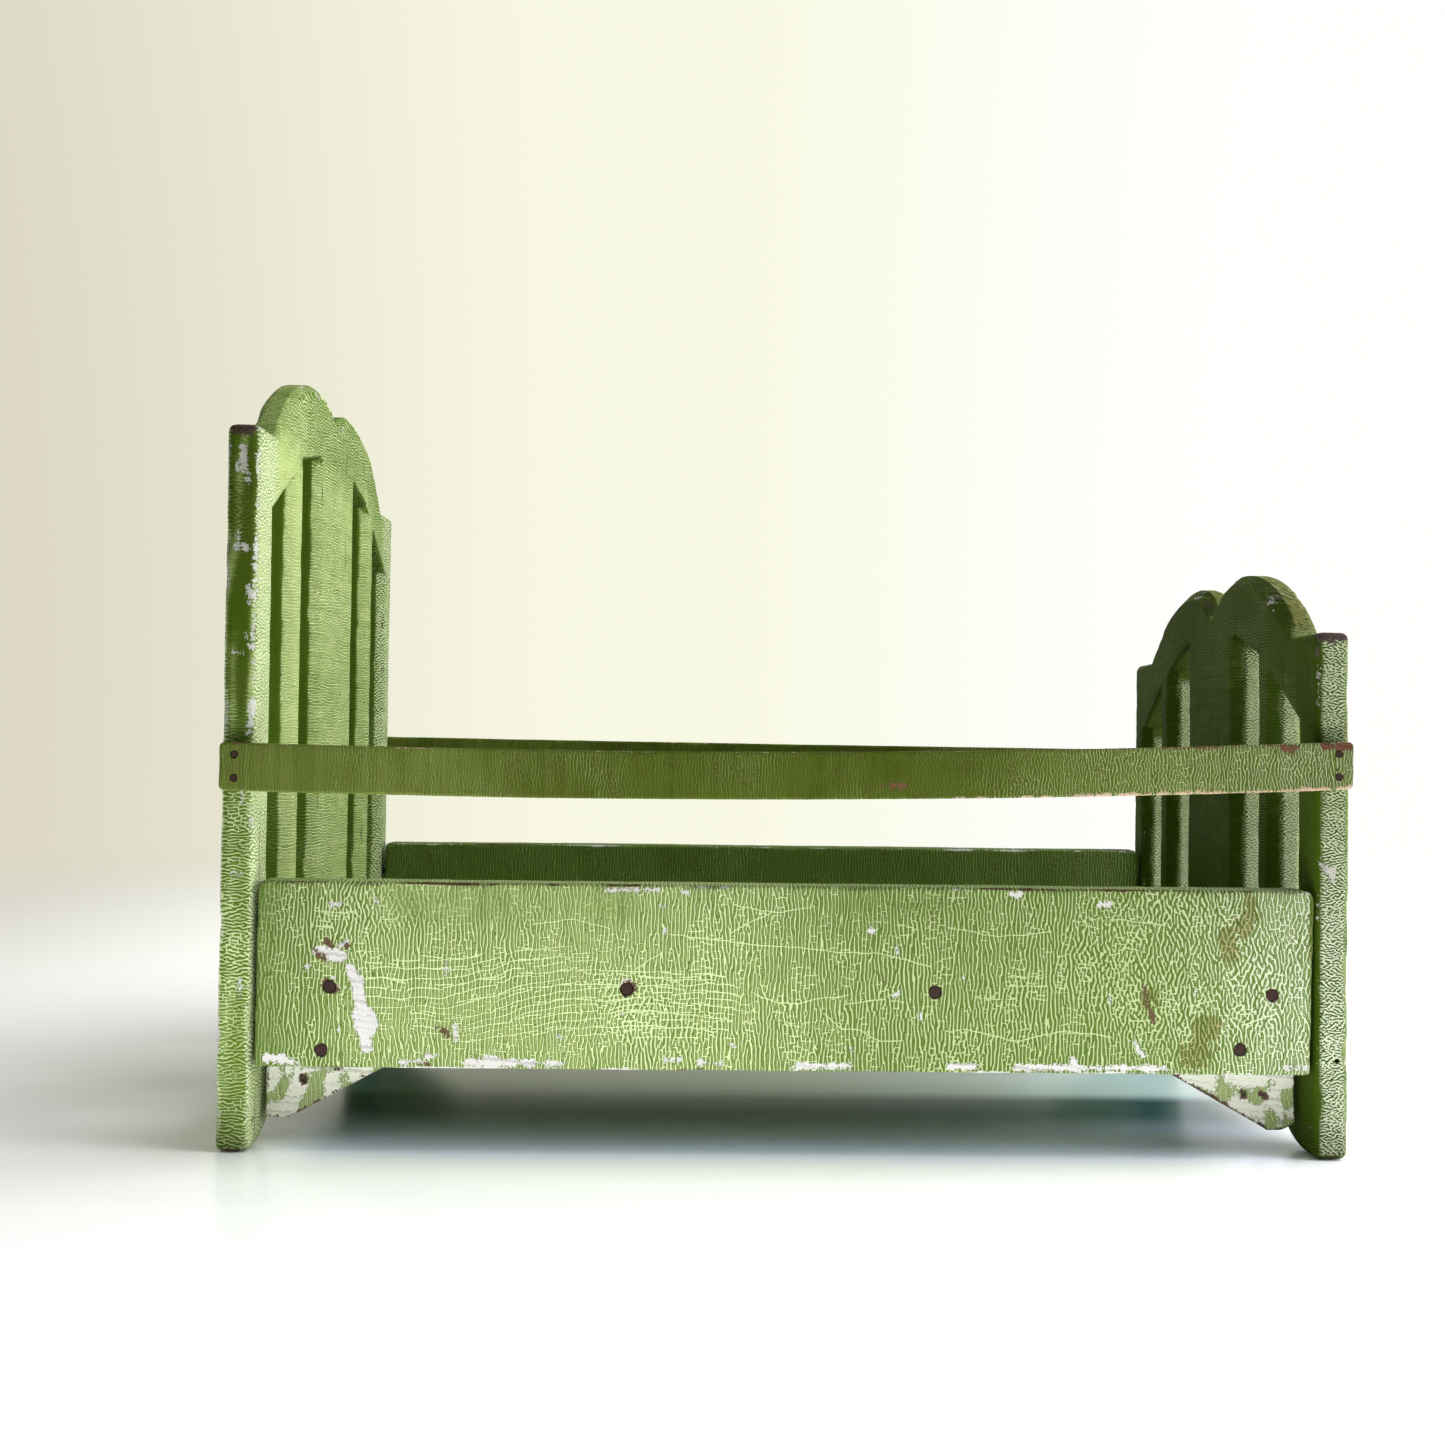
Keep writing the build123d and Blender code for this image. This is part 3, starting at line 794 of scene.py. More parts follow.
def end_nail_holes(side):
    """Where nails go through the outer face of an end board, into the boards behind it."""
    spots = [(y, z) for y in (-102.15, 102.15) for z in (45.96, 84.04)]
    spots += [(y, bottom_nail_height) for y in (-43.11, 43.11)]
    return [((side * outer_face, y * mm, z * mm), (-side, 0, 0)) for y, z in spots]


head_chips = [
    (-195.8, -107.8, 226, -196.2, -108, 213, 0.9), (-195.8, -107.8, 208, -196, -108, 199, 1.0),
    (-196, -108, 195, -197, -108.3, 184, 1.2), (-196.2, -108, 179, -196, -108, 171, 0.7),
    (-196.3, -108, 165, -197.5, -108.3, 153, 1.2), (-196, -107.8, 241, -196, -107.8, 236, 0.5),
    (-195.8, -107.6, 254, -195.8, -107.6, 249, 0.5), (-201.5, -108.5, 258, -200.8, -108.5, 250, 1.2),
    (-199.5, -108.5, 247, -199, -108.5, 243, 1.0), (-203.5, -108.5, 252, -203, -108.5, 249, 0.7),
    (-202.5, -108.5, 226, -203.2, -108.5, 220, 0.9), (-200.2, -108.5, 222, -199.8, -108.5, 219, 0.7),
    (-198.5, -108.5, 207, -198.5, -108.5, 200, 0.7), (-199.5, -108.5, 189, -198.6, -108.5, 186, 0.7),
    (-203.5, -108.5, 182, -200.5, -108.5, 181.5, 0.5), (-204, -108.5, 102, -199, -108.5, 101, 0.8),
    (-199, -108.5, 63, -199, -108.5, 57, 0.6), (-200, -108.5, 131, -199, -108.5, 127, 0.6),
    (-195, 3, 294, -195, 9, 291, 0.9), (-195, 8, 296, -195, 14, 293, 0.6),
    (-195, -37, 297, -195, -33, 295, 1.0), (-195, -101, 267, -195, -96, 263, 0.7)]
head_bare = [(-204, -108, 264.5, -199, -108, 264.5, 2.6), (-201, -106, 266.5, -201, -100, 266.5, 1.5),
             (-205, -107, 0.5, -198, -107, 0.5, 1.0), (-195, -15, 206, -195, -14.6, 199, 0.7),
             (-195, -61, 160, -195, -61, 157, 0.8)]
head_slot_tops = np.array((270.0, 264.0, 253.5, 237.5)) * mm
level_cracks = ((0, 0, 1), (1, 1, 0))

places, quads = end_board(-1, head_shoulder, head_crest, cleft_depth=11 * mm, leg_width=32 * mm,
                          leg_round=25 * mm, slot_tops=head_slot_tops, lobe_round=3.4 * mm)
places = weathered(places, quads, 0, 0.14 * mm, 0.5 * mm, head_chips, 3)
places, quads, floors = drilled(places, quads, [], end_nail_holes(-1), *nail_hole)
places, quads, floors = drilled(places, quads, floors,
                                [((-inner_face, -103.5 * mm, 11 * mm), (-1, 0, 0))], *old_nail_hole)
marks = paint_marks(places, quads, 0, 1.15, head_chips, head_bare, 11)
facing_side, facing_up, facing_down = eased_walls(places, quads, marks)
on_face = 1 - facing_side
y, z = places[:, 1:3].T / mm
near_strip = step_up(np.abs(y), 84, 92)
on_edge = step_up(np.abs(y), 104, 106.5) * facing_side
high_up = step_up(z, 120, 180)
grain = unevenness(places * np.array((1, 1, 0.1, 1)), 5, 17)
marks["worm"] += 0.2 * facing_side + 0.2 * near_strip + 0.8 * near_strip * on_face
# The upper part of the near edge gets grime and painted shade, in streaks along the grain.
marks["grime_and_shade"] += (1.0 + 0.8 * grain) * on_edge * high_up
marks["faint"] = np.clip(0.3 + 0.2 * unevenness(places, 45, 15) - 0.5 * near_strip
                         + (0.45 + 0.6 * high_up) * facing_side + 0.5 * facing_up, 0, 1.25)
# Painted shade on the near edge, most on its upper part, under the slot tops, on the slot walls, on
# the tops of the lobes and over the far part of the inner face.
marks["deep"] = ((0.45 + 0.9 * grain) * on_edge * high_up + (0.6 + 0.3 * grain) * on_edge
                 + 1.2 * facing_down + 1.2 * facing_side * (np.abs(y) < 95)
                 + (0.55 * step_up(z, 258, 275) - 0.05 * near_strip
                    - 0.35 * step_up(np.abs(y), 46, 52) + 0.85 * step_up(y, 40, 75)) * on_face)
# The near strip of the inner face is paler.
marks["dust_and_light"] = 0.10 * near_strip * on_face
head_paint = crackled_paint(
    "paint_headboard", *level_cracks, width=1.2, rung=3.5, draw=0.5, half_crack=0.2,
    colours=((0.10, 0.19, 0.012), (0.54, 0.68, 0.24), (0.74, 0.86, 0.46)),
    flaked=(0.72, 0.74, 0.67), checks=17.0)
headboard = make_painted("headboard_painted", places, quads, floors, marks, head_paint)
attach(headboard, "root")
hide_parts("headboard")

# Footboard
# The same plank construction as the headboard, lower, with broader legs. Its lobes were
# eased with a knife, and its paint has crazed into coarse worm-like cells on the edges.
foot_crest = 225.5 * mm
foot_shoulder = 195.0 * mm
foot_slot_tops = np.array((199.5, 190.0, 181.5, 162.5)) * mm
foot_chips = [(196.2, -108.5, 110, 199.5, -108.5, 106, 1.5), (201, -108.5, 107, 201, -108.5, 103, 1.3),
              (196, -73, 218, 199, -66, 221, 1.0)]
foot_bare = [(196, -108.5, 194, 207, -108.5, 194, 2.4), (196, -106, 195, 206, -104, 195, 2.2),
             (195, -108, 192, 195, -107, 186, 1.0), (199, -108.5, 190.5, 202, -108.5, 190.5, 0.8),
             (197, -100, 195, 205, -92, 195, 1.2),
             (196, -74, 217, 200, -66, 221, 1.6), (201, -107, 0.5, 205, -107, 0.5, 0.9)]

places, quads = end_board(1, foot_shoulder, foot_crest, cleft_depth=13 * mm, leg_width=39 * mm,
                          leg_round=29 * mm, slot_tops=foot_slot_tops, lobe_round=4.6 * mm)
places = weathered(places, quads, 0, 0.16 * mm, 0.6 * mm, foot_chips, 23)
places, quads, floors = drilled(places, quads, [], end_nail_holes(1), *nail_hole)
places, quads, floors = drilled(places, quads, floors, [
    ((inner_face, -103.5 * mm, 11 * mm), (1, 0, 0)),
    ((202.85 * mm, -half_width, 36.6 * mm), (0, 1, 0))], *old_nail_hole)
marks = paint_marks(places, quads, 0, 1.1, foot_chips, foot_bare, 31)
facing_side, facing_up, facing_down = eased_walls(places, quads, marks)
normal = surface_normals(places, quads)
x, y, z = places[:, :3].T / mm
in_walls = facing_side * (np.abs(y) < 95)
slot_top = np.interp(np.abs(places[:, 1]), slot_edges, foot_slot_tops) / mm
under_top = step_up(z, slot_top - 11, slot_top - 2)
inner_half = step_up(x, 201.0, 200.7) * in_walls
on_lobes = step_up(z, 196, 200) * (np.abs(y) > 5) * (1 - step_up(np.abs(normal[:, 0]), 0.6, 0.9))
facing_in = step_up(-normal[:, 0], 0.3, 0.75)
bevel = step_up(np.abs(normal[:, 1]), 0.3, 0.6) * step_up(np.abs(normal[:, 0]), 0.2, 0.4)
near_strip = step_up(-y, 88, 93)
marks["worm"] += 0.7 * facing_side + 0.6 * on_lobes
# Browner towards the top and on the lobes, with grime and painted shade.
marks["grime_and_shade"] += 0.45 * step_up(z, 150, 215) * (1 - facing_side) + 0.5 * on_lobes
marks["faint"] = np.clip(0.1 + 0.7 * facing_in + 0.2 * unevenness(places, 45, 35)
                         + 0.6 * bevel + 0.4 * facing_up, 0, 1.25)
# Painted shade on the inner face, which is turned from the window, most on its near strip; on the
# undersides, under the slot tops and over the inner halves of the slot walls.
marks["deep"] = ((0.9 + 0.9 * near_strip - 0.2 * step_up(z, 130, 190)) * facing_in
                 + 0.3 * facing_side + 0.15 * on_lobes + 1.5 * facing_down
                 + (2.6 * np.maximum(under_top, 0.75 * inner_half) - 1.2) * in_walls)
# The edges are paler, most low down, with dust and painted light.
marks["dust_and_light"] = (0.08 + 0.10 * step_up(z, 150, 60)) * facing_side
foot_paint = crackled_paint(
    "paint_footboard", *level_cracks, width=1.02, rung=2.6, draw=0.7, half_crack=0.2,
    colours=((0.055, 0.10, 0.005), (0.27, 0.37, 0.09), (0.72, 0.83, 0.47)),
    bare=(0.115, 0.082, 0.075), flaked=(0.66, 0.64, 0.58), checks=7.0)
footboard = make_painted("footboard_painted", places, quads, floors, marks, foot_paint)
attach(footboard, "root")
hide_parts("footboard")

# Side boards
# Two planks on edge between the end boards, sawn a little out of square, and nailed into
# the bottom and the gussets behind. The front one's paint is crazed in upright lines,
# crossed by long ones, and its white undercoat shows in chips and along the lower edge.
side_low = 31.0 * mm
side_top = 99.0 * mm
side_edge_round = 1.2 * mm
side_low_round = 1.6 * mm
side_top_rounds = (2.4 * mm, 3.8 * mm)
side_crowd = np.array([0.2, 0.5, 0.9, 1.4]) * mm
bottom_nails_at = [(x, bottom_nail_height) for x in (-166.68, -58.49, 54.59, 178.96)]
gusset_nails_at = [(-169.35, 37.5), (167.05, 40.5)]
upright_cracks = ((1, 0, 0), (0, 1, 1))


def plank(across, along, thickness, edge_round, layers):
    """A board from a grid of places on its face, all of whose squares are there."""
    present = np.ones((across.shape[0] - 1, across.shape[1] - 1), bool)
    return grid_board(across, along, present, thickness, edge_round, layers)


def stood_on_edge(side, face, flat, quads):
    """A flat board stood up along one side of the bed (-1 is the front), its face outwards."""
    places = np.stack([flat[:, 0], side * (face - flat[:, 2]), flat[:, 1], flat[:, 3]], 1)
    return places, facing_out(places, quads)


def holes_in_face(side, face, spots):
    """Holes into such a face, from their places along and up in millimetres."""
    return [((x * mm, side * face, z * mm), (0, -side, 0)) for x, z in spots]


def strokes_on(face, strokes):
    """Strokes on such a face at the front, given by their places along and up.

    An end in whole millimetres lies at a whole depth too, a little inside the face.
    """
    def end(x, z):
        whole = isinstance(x, int) and isinstance(z, int)
        return x, math.trunc(-face / mm) if whole else -face / mm, z

    return [(*end(a, b), *end(c, d), radius) for a, b, c, d, radius in strokes]


def side_board(side):
    """A side board as grid points: its two ends slant, and its four corners are rounded."""
    across, along = np.meshgrid(stations([-inner_face, inner_face], 1.05 * mm, side_crowd),
                                stations([side_low, side_top], 1.05 * mm, side_crowd),
                                indexing="ij")
    across, along = with_round_corners(across, along, inner_face, side_low, side_top,
                                       side_low_round, side_top_rounds)
    rise = (along - side_low) / (side_top - side_low)
    head_end = -inner_face + (1.1 + 0.5 * rise) * mm
    foot_end = inner_face - (1.6 - 1.3 * rise) * mm
    across = head_end + (foot_end - head_end) * (across + inner_face) / (2 * inner_face)
    return stood_on_edge(side, half_width, *plank(across, along, board_thickness,
                                                  side_edge_round, 9))


front_chips = strokes_on(half_width, [
    (-172, 73.5, -168, 74, 1.5), (-166.5, 72.5, -162.5, 71.5, 2.1), (-162.3, 76, -161, 76.5, 1.3),
    (-176, 68, -173, 68, 0.8), (-159.3, 66.8, -157.5, 65, 2.1), (-157, 63, -155.8, 58, 2.5),
    (-155.5, 57, -155.1, 54, 2.7), (-154, 50, -153, 46.5, 4.1), (-153.4, 43, -152.4, 38.5, 2.0),
    (-188.5, 34.5, -183, 34, 1.7), (-182, 33.5, -178.5, 33, 1.0), (-140, 33.6, -132, 33.4, 0.8),
    (-131, 35.5, -127, 36, 1.0), (-121, 47, -120.5, 42, 0.9), (-116, 33.5, -92, 33.5, 1.5),
    (-88, 33.3, -81, 33.3, 1.1), (-110, 35.5, -104, 35, 0.7), (-44, 35, -39, 35, 1.0),
    (-31, 34, -24, 34, 0.9), (5, 33.2, 23, 33.4, 1.2), (60, 33.5, 69, 33.5, 1.3),
    (84, 33.5, 110, 33.3, 1.3), (112, 33.5, 139, 33.5, 1.0), (181, 34, 191, 34, 0.8),
    (-67, 96.7, -47, 96.9, 0.6), (-39, 96.3, -34, 96.3, 0.6), (-44.7, 83, -44.7, 81.5, 0.9),
    (-46.5, 91.5, -44.5, 91.5, 0.7), (-83, 44, -82, 42.5, 0.8), (31, 82.7, 31.5, 82, 0.9),
    (40, 76, 40.5, 75, 0.8), (83, 96.5, 85.5, 96.5, 1.6), (65, 66, 66, 65, 0.8),
    (49, 53, 49, 51.5, 0.7), (105, 36.5, 106, 35.5, 1.3), (115, 93, 118.5, 93.3, 1.2),
    (39, 59, 41, 60, 0.6), (-57, 63.5, -60.5, 63.3, 0.5), (-125, 70, -124.5, 66, 0.6),
    (-150, 92, -150, 91, 0.8), (-166, 90.5, -163, 90.5, 0.9), (-163, 47, -163, 44, 0.6),
    (127, 44, 131, 38, 1.0), (119, 60, 119, 57, 0.7), (22, 40, 24, 39, 0.7), (-20, 41, -19, 40, 0.6),
    (150, 61, 150, 60, 0.6), (-137, 55, -137, 54, 0.4), (-60, 52, -60, 51, 0.5),
    (-163.9, 60.9, -163.2, 60.3, 0.8), (-165.3, 63.6, -164.9, 64, 0.6)])
front_bare = strokes_on(half_width, [
    (-162.5, 77, -160.5, 75.5, 0.9), (-168, 77, -166, 75.5, 0.9), (-173.5, 75.5, -171, 72.5, 0.8),
    (-127.5, 46, -124, 44.5, 1.1), (131.5, 64, 132, 60, 0.8), (132.5, 58, 134.7, 51, 0.8),
    (31.6, 68.5, 37.9, 63, 0.4), (-170, 72, -169, 71, 0.9), (-135, 33, -130, 32.5, 0.5),
    (-124, 43.5, -122.5, 43, 0.9), (-168, 61.5, -164.6, 59.8, 1.7), (-58.5, 60.5, -57.8, 61, 2.6)])
front_stains = strokes_on(half_width, [
    (170, 92, 168, 86, 3.5), (162, 80, 163, 76, 3.5), (154, 48, 151, 38, 5.0), (133, 62, 134, 52, 2.0),
    (-190, 67, -189, 65, 1.6)])
long_cracks = strokes_on(half_width, [
    (-150, 60, -95, 66, 9.0), (-125, 54, -30, 56, 12.0), (-90, 70, -75, 72, 4.0)])
faint_long_cracks = strokes_on(half_width, [
    (-30, 50, 0, 48, 5.0), (60, 56, 108, 66, 9.0), (-172, 86, -148, 84, 8.0),
    (-170, 52, -150, 50, 9.0)])
worm_cells = strokes_on(half_width, [(135, 72, 185, 66, 30.0), (-158, 90, -140, 90, 5.0)])
smooth_band = strokes_on(half_width, [
    (-140, 92, -60, 92, 7.0), (-198, 95, -194, 35, 12.0), (20, 92, 70, 92, 3.0)])
single_cracks = [
    [(-41.5, 80.6), (-22.9, 78.7), (-12.5, 77.2), (4, 76.4), (18.5, 75), (35.1, 74.4), (52, 70)],
    [(-18.4, 91.6), (-9.6, 89.6), (-2.4, 89.2), (7.9, 90.9)],
    [(-19.9, 81.8), (-13.7, 85.5), (-7.5, 88.1)],
    [(-10.8, 59.2), (-5, 56.7), (4.2, 55.8), (12.5, 57.9), (21.8, 59)], [(22.9, 56), (34.2, 57.6)],
    [(14.5, 51.8), (20.8, 46.7), (27, 46.7), (34.4, 42.3), (41.6, 42.7)],
    [(-53.6, 65.5), (-43.4, 64.2), (-27.8, 64.3)], [(-53.7, 69.2), (-47.5, 72.9)],
    [(169.2, 50), (178.7, 53.2)], [(60, 84), (78, 81), (96, 83)],
    [(66, 47), (84, 43), (103, 47), (118, 45)], [(-92, 84), (-78, 86), (-66, 83)],
    [(120, 88), (138, 86)]]


def beside_lines(x, z, lines):
    """Which way and how far a place is off the nearest of some broken lines, in millimetres.

    The distance is signed by the side of the line, and the second result is 1 near a line.
    """
    offset = np.full(len(x), 9.0)
    nearest = np.full(len(x), 9.0)
    for line in lines:
        for (x0, z0), (x1, z1) in zip(line[:-1], line[1:]):
            run, rise = x1 - x0, z1 - z0
            length = math.hypot(run, rise)
            share = np.clip(((x - x0) * run + (z - z0) * rise) / length ** 2, 0, 1)
            distance = np.hypot(x - x0 - share * run, z - z0 - share * rise)
            side = ((z - z0) * run - (x - x0) * rise) / length
            offset = np.where(distance < nearest, side, offset)
            nearest = np.minimum(distance, nearest)
    return offset, step_up(nearest, 2.2, 1.2)


side_paint = crackled_paint(
    "paint_side_boards", *upright_cracks, width=1.42, rung=3.2, draw=0.5, half_crack=0.21,
    colours=((0.12, 0.20, 0.035), (0.36, 0.475, 0.155), (0.72, 0.84, 0.44)), crossing=2.8,
    bare=(0.125, 0.08, 0.048))
for side, name in ((-1, "front"), (1, "rear")):
    chips, bare = (front_chips, front_bare) if side < 0 else ([], [])
    places, quads = side_board(side)
    places = weathered(places, quads, 1, 0.13 * mm, 0.5 * mm, chips, 43 + side)
    holes = holes_in_face(side, half_width, bottom_nails_at + gusset_nails_at)
    places, quads, floors = drilled(places, quads, [], holes, *nail_hole)
    marks = paint_marks(places, quads, 1, 1.6, chips, bare, 51 + side)
    x, _, z = places[:, :3].T / mm
    # At their ends, in the narrow gaps at the end boards, the boards keep their paint and are darkened
    # with painted shade.
    at_end = step_up(np.abs(places[:, 0]), inner_face - 3.0 * mm, inner_face - 1.2 * mm)
    for mark, change in (("chip", -3), ("bare", -3), ("deep", 1.0), ("grime_and_shade", 1.2)):
        marks[mark] += change * at_end
    if side < 0:
        stained = inside_strokes(places, front_stains) + 2.4 * unevenness(places, 5, 63)
        marks["grime_and_shade"] += 1.25 * step_up(stained, -2.0, 2.0)
        # Painted shade near the front board's left end and over its right half, less at its right end.
        marks["deep"] += (0.55 * step_up(-x, 145, 185) + 0.6 * step_up(x, -40, 40)
                          - 0.35 * step_up(x, 135, 185))
        marks["long"] = np.maximum(step_up(inside_strokes(places, long_cracks), -7, 3),
                                   0.6 * step_up(inside_strokes(places, faint_long_cracks), -5, 4))
        marks["sweep"] -= 10 * step_up(x, -130, -72) + 0.02 * x
        marks["line"], marks["on_line"] = beside_lines(x, z, single_cracks)
        marks["worm"] += 0.9 * step_up(inside_strokes(places, worm_cells), -30, 14) - 0.27
        # Paler at the right end, with dust and painted light.
        marks["dust_and_light"] = 0.16 * step_up(x, 120, 192)
        marks["faint"] = (0.5 * step_up(inside_strokes(places, smooth_band), -6, 5)
                          + 0.1 * unevenness(places, 30, 61))
        top_edge = step_up(places[:, 2], side_top - 1.3 * mm, side_top - 0.5 * mm)
        low_edge = step_up(places[:, 2], side_low + 4.5 * mm, side_low + 0.5 * mm)
        marks["bare"] += 1.0 * top_edge
        marks["chip"] = np.maximum(marks["chip"] - 1.2 * top_edge, -2.0 + 1.25 * low_edge
                                   + 0.5 * unevenness(places, 16, 67))
    else:
        marks["faint"] = np.full(len(places), 0.6)
        # The rear board, seen from inside the bed, gets painted shade and some grime.
        marks["deep"] += 0.8
        marks["grime_and_shade"] += 0.3
    board = make_painted(name + "_side_board_painted", places, quads, floors, marks, side_paint)
    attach(board, "root")
    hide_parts(name + "_side_board")

# Bottom board
# The board that carries the mattress, let in between the side and end boards and nailed
# to them. It has the same green paint, rubbed thin on top by bedding.
bottom_low = 54.2 * mm
bottom_high = bottom_low + board_thickness
inner_half_width = half_width - board_thickness
bottom_crowd = np.array([0.4, 1.2]) * mm
gusset_nails_down = [((a * 154.95 * mm, b * 89.45 * mm, bottom_high), (0, 0, -1))
                     for a in (-1, 1) for b in (-1, 1)]

across, along = np.meshgrid(
    stations([-inner_face, inner_face], 1.6 * mm, bottom_crowd),
    stations([-inner_half_width, inner_half_width], 1.6 * mm, bottom_crowd), indexing="ij")
flat, quads = plank(across, along, board_thickness, 0.6 * mm, 4)
places = np.stack([flat[:, 0], flat[:, 1], bottom_high - flat[:, 2], flat[:, 3]], 1)
quads = facing_out(places, quads)
places = weathered(places, quads, 2, 0.12 * mm, 0.2 * mm, [], 71)
places, quads, floors = drilled(places, quads, [], gusset_nails_down, *nail_hole)
marks = paint_marks(places, quads, 2, 0.8, [], [], 73)
marks["chip"] += 0.5 * step_up(unevenness(places, 60, 75), 0.3, 1.2)
marks["faint"] = np.clip(0.45 + 0.3 * unevenness(places, 50, 77), 0, 1)
bottom_paint = crackled_paint(
    "paint_bottom_board", *upright_cracks, width=2.1, rung=8.0, draw=0.42, half_crack=0.27,
    colours=((0.15, 0.225, 0.05), (0.34, 0.45, 0.155), (0.56, 0.68, 0.29)))
bottom_board = make_painted("bottom_board_painted", places, quads, floors, marks, bottom_paint)
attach(bottom_board, "root")
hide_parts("bottom_board")

# Rails
# Thin laths, each held by two brads at either end across the edges of the end boards.
# Their upper edge is a parabola, which sags in the front one. Their paint is a browner
# green, rubbed through to red-brown wood in places along the edges.
rail_width = 17.6 * mm
rail_thickness = 4.4 * mm
rail_corner_round = 2 * mm
rail_end = outer_face - 0.8 * mm
rail_face = half_width + rail_thickness
brad_head = 2.8 * mm
brad_hole = (brad_head / 2 + 0.12 * mm, 0.9 * mm, 3.0 * mm)
brads_from_middle = 201.3
brad_spacing = 8.5
rail_bare = strokes_on(rail_face, [
    (181, 151.5, 185.5, 151.5, 1.4), (183, 150, 184, 149, 1.2), (196, 152.5, 205, 152.5, 1.4),
    (-60, 151.4, 60, 149.5, 0.5), (90, 150, 180, 152.5, 0.35), (33, 136, 42, 136, 1.2),
    (-205, 149, -190, 149.3, 0.5)])
rail_worn = strokes_on(rail_face, [
    (60, 131.3, 100, 132.5, 0.7), (100, 132.5, 163, 134.7, 1.0), (163, 134.7, 205, 136.7, 1.1)])

rail_paint = crackled_paint(
    "paint_rails", *upright_cracks, width=1.15, rung=3.2, draw=0.7, half_crack=0.18,
    colours=((0.095, 0.14, 0.012), (0.26, 0.345, 0.08), (0.47, 0.58, 0.24)),
    bare=(0.19, 0.092, 0.055), flaked=(0.66, 0.50, 0.34))
brads = {}
for side, name, head_height, foot_height, sag, brad_levels in (
        (-1, "front", 149.3, 154.2, 3.6, (144.8, 149.7)),
        (1, "rear", 153.3, 151.1, 0.4, (148.8, 146.6))):
    across, along = np.meshgrid(stations([-rail_end, rail_end], 0.95 * mm, side_crowd),
                                stations([-rail_width, 0.0], 0.9 * mm, side_crowd),
                                indexing="ij")
    across, along = with_round_corners(across, along, rail_end, -rail_width, 0.0,
                                       rail_corner_round, (rail_corner_round,) * 2)
    share = (across / rail_end + 1) / 2
    bend = (head_height + foot_height) / 2 - 2 * sag
    along = along + mm * (head_height * (1 - share) ** 2 + 2 * bend * share * (1 - share)
                          + foot_height * share ** 2)
    places, quads = stood_on_edge(side, rail_face, *plank(across, along, rail_thickness,
                                                          0.8 * mm, 4))
    places = weathered(places, quads, 1, 0.07 * mm, 0.3 * mm, [], 81 + side)
    brads[name] = holes_in_face(side, rail_face, [
        (hand * brads_from_middle, level - lower)
        for hand, level in zip((-1, 1), brad_levels) for lower in (0, brad_spacing)])
    places, quads, floors = drilled(places, quads, [], brads[name], *brad_hole)
    marks = paint_marks(places, quads, 1, 1.1, [], rail_bare if side < 0 else [], 91 + side)
    x = places[:, 0] / mm
    worn = inside_strokes(places, rail_worn) + 0.5 * unevenness(places, 6, 96)
    marks["chip"] = np.maximum(marks["chip"], worn)
    marks["bare"] -= 3 * step_up(worn, -1.5, -0.3)
    marks["worm"] += 0.15 * step_up(x, 0, 110)
    # Along the rail the paint is paler on the right and darker and browner on the left and in the
    # middle: partly its own tone and grime, partly painted light and painted shade.
    marks["dust_and_light"] = 0.07 * step_up(x, 110, 200)
    marks["deep"] = 0.2 + 0.45 * step_up(x, -150, -60) - 0.4 * step_up(x, 40, 140)
    marks["faint"] = 0.75 - 0.6 * step_up(x, 40, 150) + 0.15 * unevenness(places, 25, 95)
    marks["grime_and_shade"] += 0.5 - 0.4 * step_up(x, 60, 160)
    rail = make_painted(name + "_rail_painted", places, quads, floors, marks, rail_paint)
    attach(rail, "root")
    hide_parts(name + "_rail")

# Gussets
# Triangular plates behind the side boards that hold up the corners of the bottom. The
# green has flaked off the front ones to a cream-white undercoat.
gusset_face = inner_half_width
gusset_gap = 2.0 * mm
gusset_crowd = np.array([0.3, 0.8, 1.5]) * mm
gusset_old_holes = {-1: (-178.95, 24.0), 1: (173.65, 21.3)}
gusset_bare = strokes_on(gusset_face, [(179.3, 21.5, 181.5, 20.5, 1.3),
                                       (-167, 27.5, -165, 28.5, 1.0)])
gusset_paint = crackled_paint(
    "paint_gussets", *upright_cracks, width=1.7, rung=4.0, draw=0.8, half_crack=0.2,
    colours=((0.20, 0.28, 0.08), (0.46, 0.56, 0.27), (0.68, 0.78, 0.44)),
    flaked=(0.86, 0.87, 0.77))


def gusset_board(side, end, reach, tip, tip_flat, tip_round):
    """A gusset as grid points, from near the end board to its reach along the side board.

    Its lower edge is rounded at the end board, then level at the tip's height, and slants
    up to the bottom board from the end of the tip's flat.
    """
    span = reach - gusset_gap
    share = stations([0.0, 1.0], 1.0 * mm / span, gusset_crowd / span)
    rows = stations([0.0, 1.0], 0.028, np.array([0.006, 0.015, 0.03]))
    run = share[:, None] * span
    low = tip + np.maximum(run - tip_flat, 0) * (bottom_low - tip) / (span - tip_flat)
    low = low + np.maximum(tip_round - run, 0) ** 2 / (2 * tip_round)
    low = np.minimum(low, bottom_low - 0.4 * mm)
    along = low + (bottom_low - low) * rows[None, :]
    across = end * (inner_face - gusset_gap - run) + 0 * along
    return stood_on_edge(side, gusset_face, *plank(across, along, board_thickness, 0.9 * mm, 8))


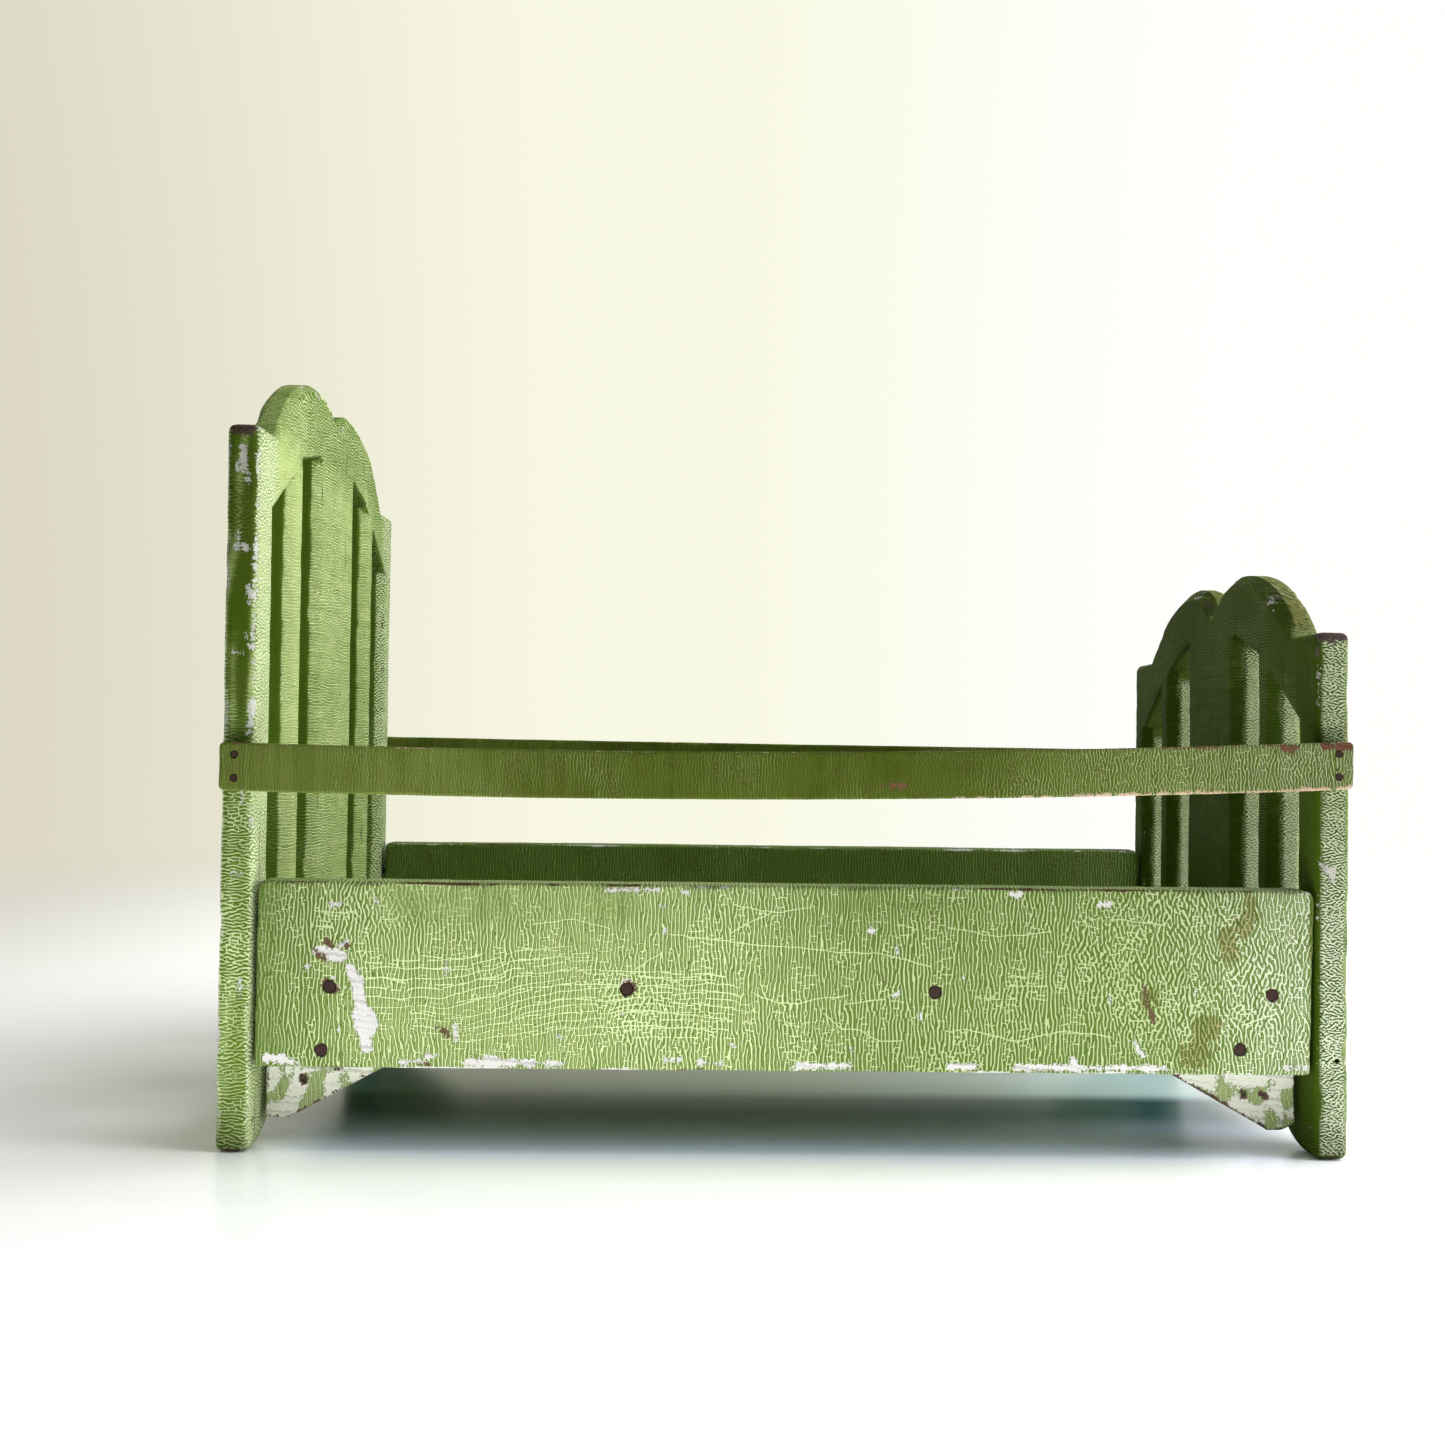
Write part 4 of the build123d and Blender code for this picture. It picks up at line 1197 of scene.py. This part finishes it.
for side, name in ((-1, "front"), (1, "rear")):
    for end, end_name, *sizes in ((-1, "head", 92.6 * mm, 9.6 * mm, 9.0 * mm, 2.2 * mm),
                                  (1, "foot", 94.9 * mm, 7.6 * mm, 10.5 * mm, 6.5 * mm)):
        places, quads = gusset_board(side, end, *sizes)
        places = weathered(places, quads, 1, 0.1 * mm, 0.4 * mm, [], 103 + 2 * side + end)
        old_hole = gusset_old_holes[end]
        holes = holes_in_face(side, gusset_face, [old_hole] if side < 0 else [])
        places, quads, floors = drilled(places, quads, [], holes, *old_nail_hole[:2], 2.4 * mm)
        marks = paint_marks(places, quads, 1, 1.2, [], [], 111 + 2 * side + end)
        if side < 0:
            at_hole = inside_strokes(places, strokes_on(gusset_face, [(*old_hole, *old_hole, 1.5)]))
            marks["chip"] = (0.55 + 1.9 * unevenness(places, 9, 114 + end) + 0.1 * end
                             - 6 * step_up(at_hole, -0.4, 0.3))
            at_border = -1.9 + (2.1 + 0.3 * end) * step_up(places[:, 3], 3.0 * mm, 0.5 * mm)
            for bare in (at_border, at_hole + 0.4, inside_strokes(places, gusset_bare)):
                marks["bare"] = np.maximum(marks["bare"], bare)
        gusset = make_painted(f"{end_name}_{name}_gusset_painted", places, quads, floors, marks,
                              gusset_paint)
        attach(gusset, "root")
        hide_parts(f"{end_name}_{name}_gusset")

# Nails
# Round wire nails of iron, driven a little below the surface and rusted dark red-brown,
# and the small brads of the rails. Each is turned from its head's profile to its point.
rust_dark = (0.018, 0.010, 0.008, 1)
rust_red = (0.080, 0.036, 0.028, 1)
rust, tree = empty_material("rusted_iron")
place = place_in_mm(tree)
patch, _ = noise_of(place, 1.1, 3.0)
grain, _ = noise_of(place, 0.3)
bump = add(tree, "Bump", Height=patch + grain, Distance=0.12 * mm, Strength=1.0)
shader = add(tree, "BsdfPrincipled", Normal=bump, Roughness=patch.ramp(-0.3, 0.3, 0.5, 0.85),
             Base_Color=mixed((patch + grain).ramp(-0.35, 0.4), rust_dark, rust_red),
             Metallic=0.35)
add(tree, "OutputMaterial", Surface=shader)


def turned_nails(name, holes, length, shank, head, thickness, sunk, seed):
    """A group of like nails as one mesh: each is a profile turned about its own line.

    A ring of the profile is a radius and a depth below the surface. The head is a little
    domed and uneven.
    """
    radius = head / 2
    profile = [(0.08 * radius, sunk), (0.3 * radius, sunk + 0.01 * mm),
               (0.55 * radius, sunk + 0.04 * mm), (0.78 * radius, sunk + 0.09 * mm),
               (0.92 * radius, sunk + 0.17 * mm), (radius, sunk + 0.32 * mm),
               (radius, sunk + thickness), (shank / 2, sunk + thickness + 0.15 * mm),
               (shank / 2, sunk + length - 1.4 * shank), (0.1 * mm, sunk + length)]
    rings, depths = np.array(profile).T
    turn = np.linspace(0, 2 * np.pi, 28, endpoint=False)
    places, quads, floors = np.zeros((0, 4)), np.zeros((0, 4), int), []
    grid = np.arange(len(profile) * len(turn)).reshape(len(profile), len(turn))
    following = np.roll(grid, -1, axis=1)
    one = np.stack([grid[:-1], grid[1:], following[1:], following[:-1]], 2).reshape(-1, 4)
    for centre, inward in holes:
        inward = np.array(inward, float)
        first = np.roll(inward, 1)
        second = np.cross(-inward, first)
        spokes = np.cos(turn)[:, None] * first + np.sin(turn)[:, None] * second
        points = (np.array(centre) + rings[:, None, None] * spokes[None]
                  + depths[:, None, None] * inward).reshape(-1, 3)
        bumps = unevenness(points, 1.6, seed) * 0.05 * mm
        bumps = np.where(np.repeat(depths, len(turn)) < sunk + thickness, bumps, 0)
        points = points + np.maximum(bumps, -0.02 * mm)[:, None] * inward
        base = len(places)
        places = np.concatenate([places, np.c_[points, np.zeros(len(points))]])
        quads = np.concatenate([quads, one + base])
        floors += [grid[0] + base, grid[-1][::-1] + base]
    return make_painted(name, places, quads, floors, {}, rust)


long_nail = (32 * mm, 2.2 * mm, nail_head, 0.9 * mm, nail_sunk)
short_nail = (24 * mm, *long_nail[1:])
brad = (16 * mm, 1.3 * mm, brad_head, 0.6 * mm, 0.2 * mm)
nail_groups = {"head_end_nails": (end_nail_holes(-1), long_nail),
               "foot_end_nails": (end_nail_holes(1), long_nail),
               "bottom_gusset_nails": (gusset_nails_down, long_nail)}
for side, name in ((-1, "front"), (1, "rear")):
    nail_groups.update({
        name + "_bottom_nails": (holes_in_face(side, half_width, bottom_nails_at), long_nail),
        name + "_gusset_nails": (holes_in_face(side, half_width, gusset_nails_at), short_nail),
        name + "_rail_brads": (brads[name], brad)})
for number, (node, (holes, sizes)) in enumerate(nail_groups.items()):
    nails = turned_nails(node + "_rusted", holes, *sizes, 131 + number)
    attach(nails, "root")
    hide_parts(node)
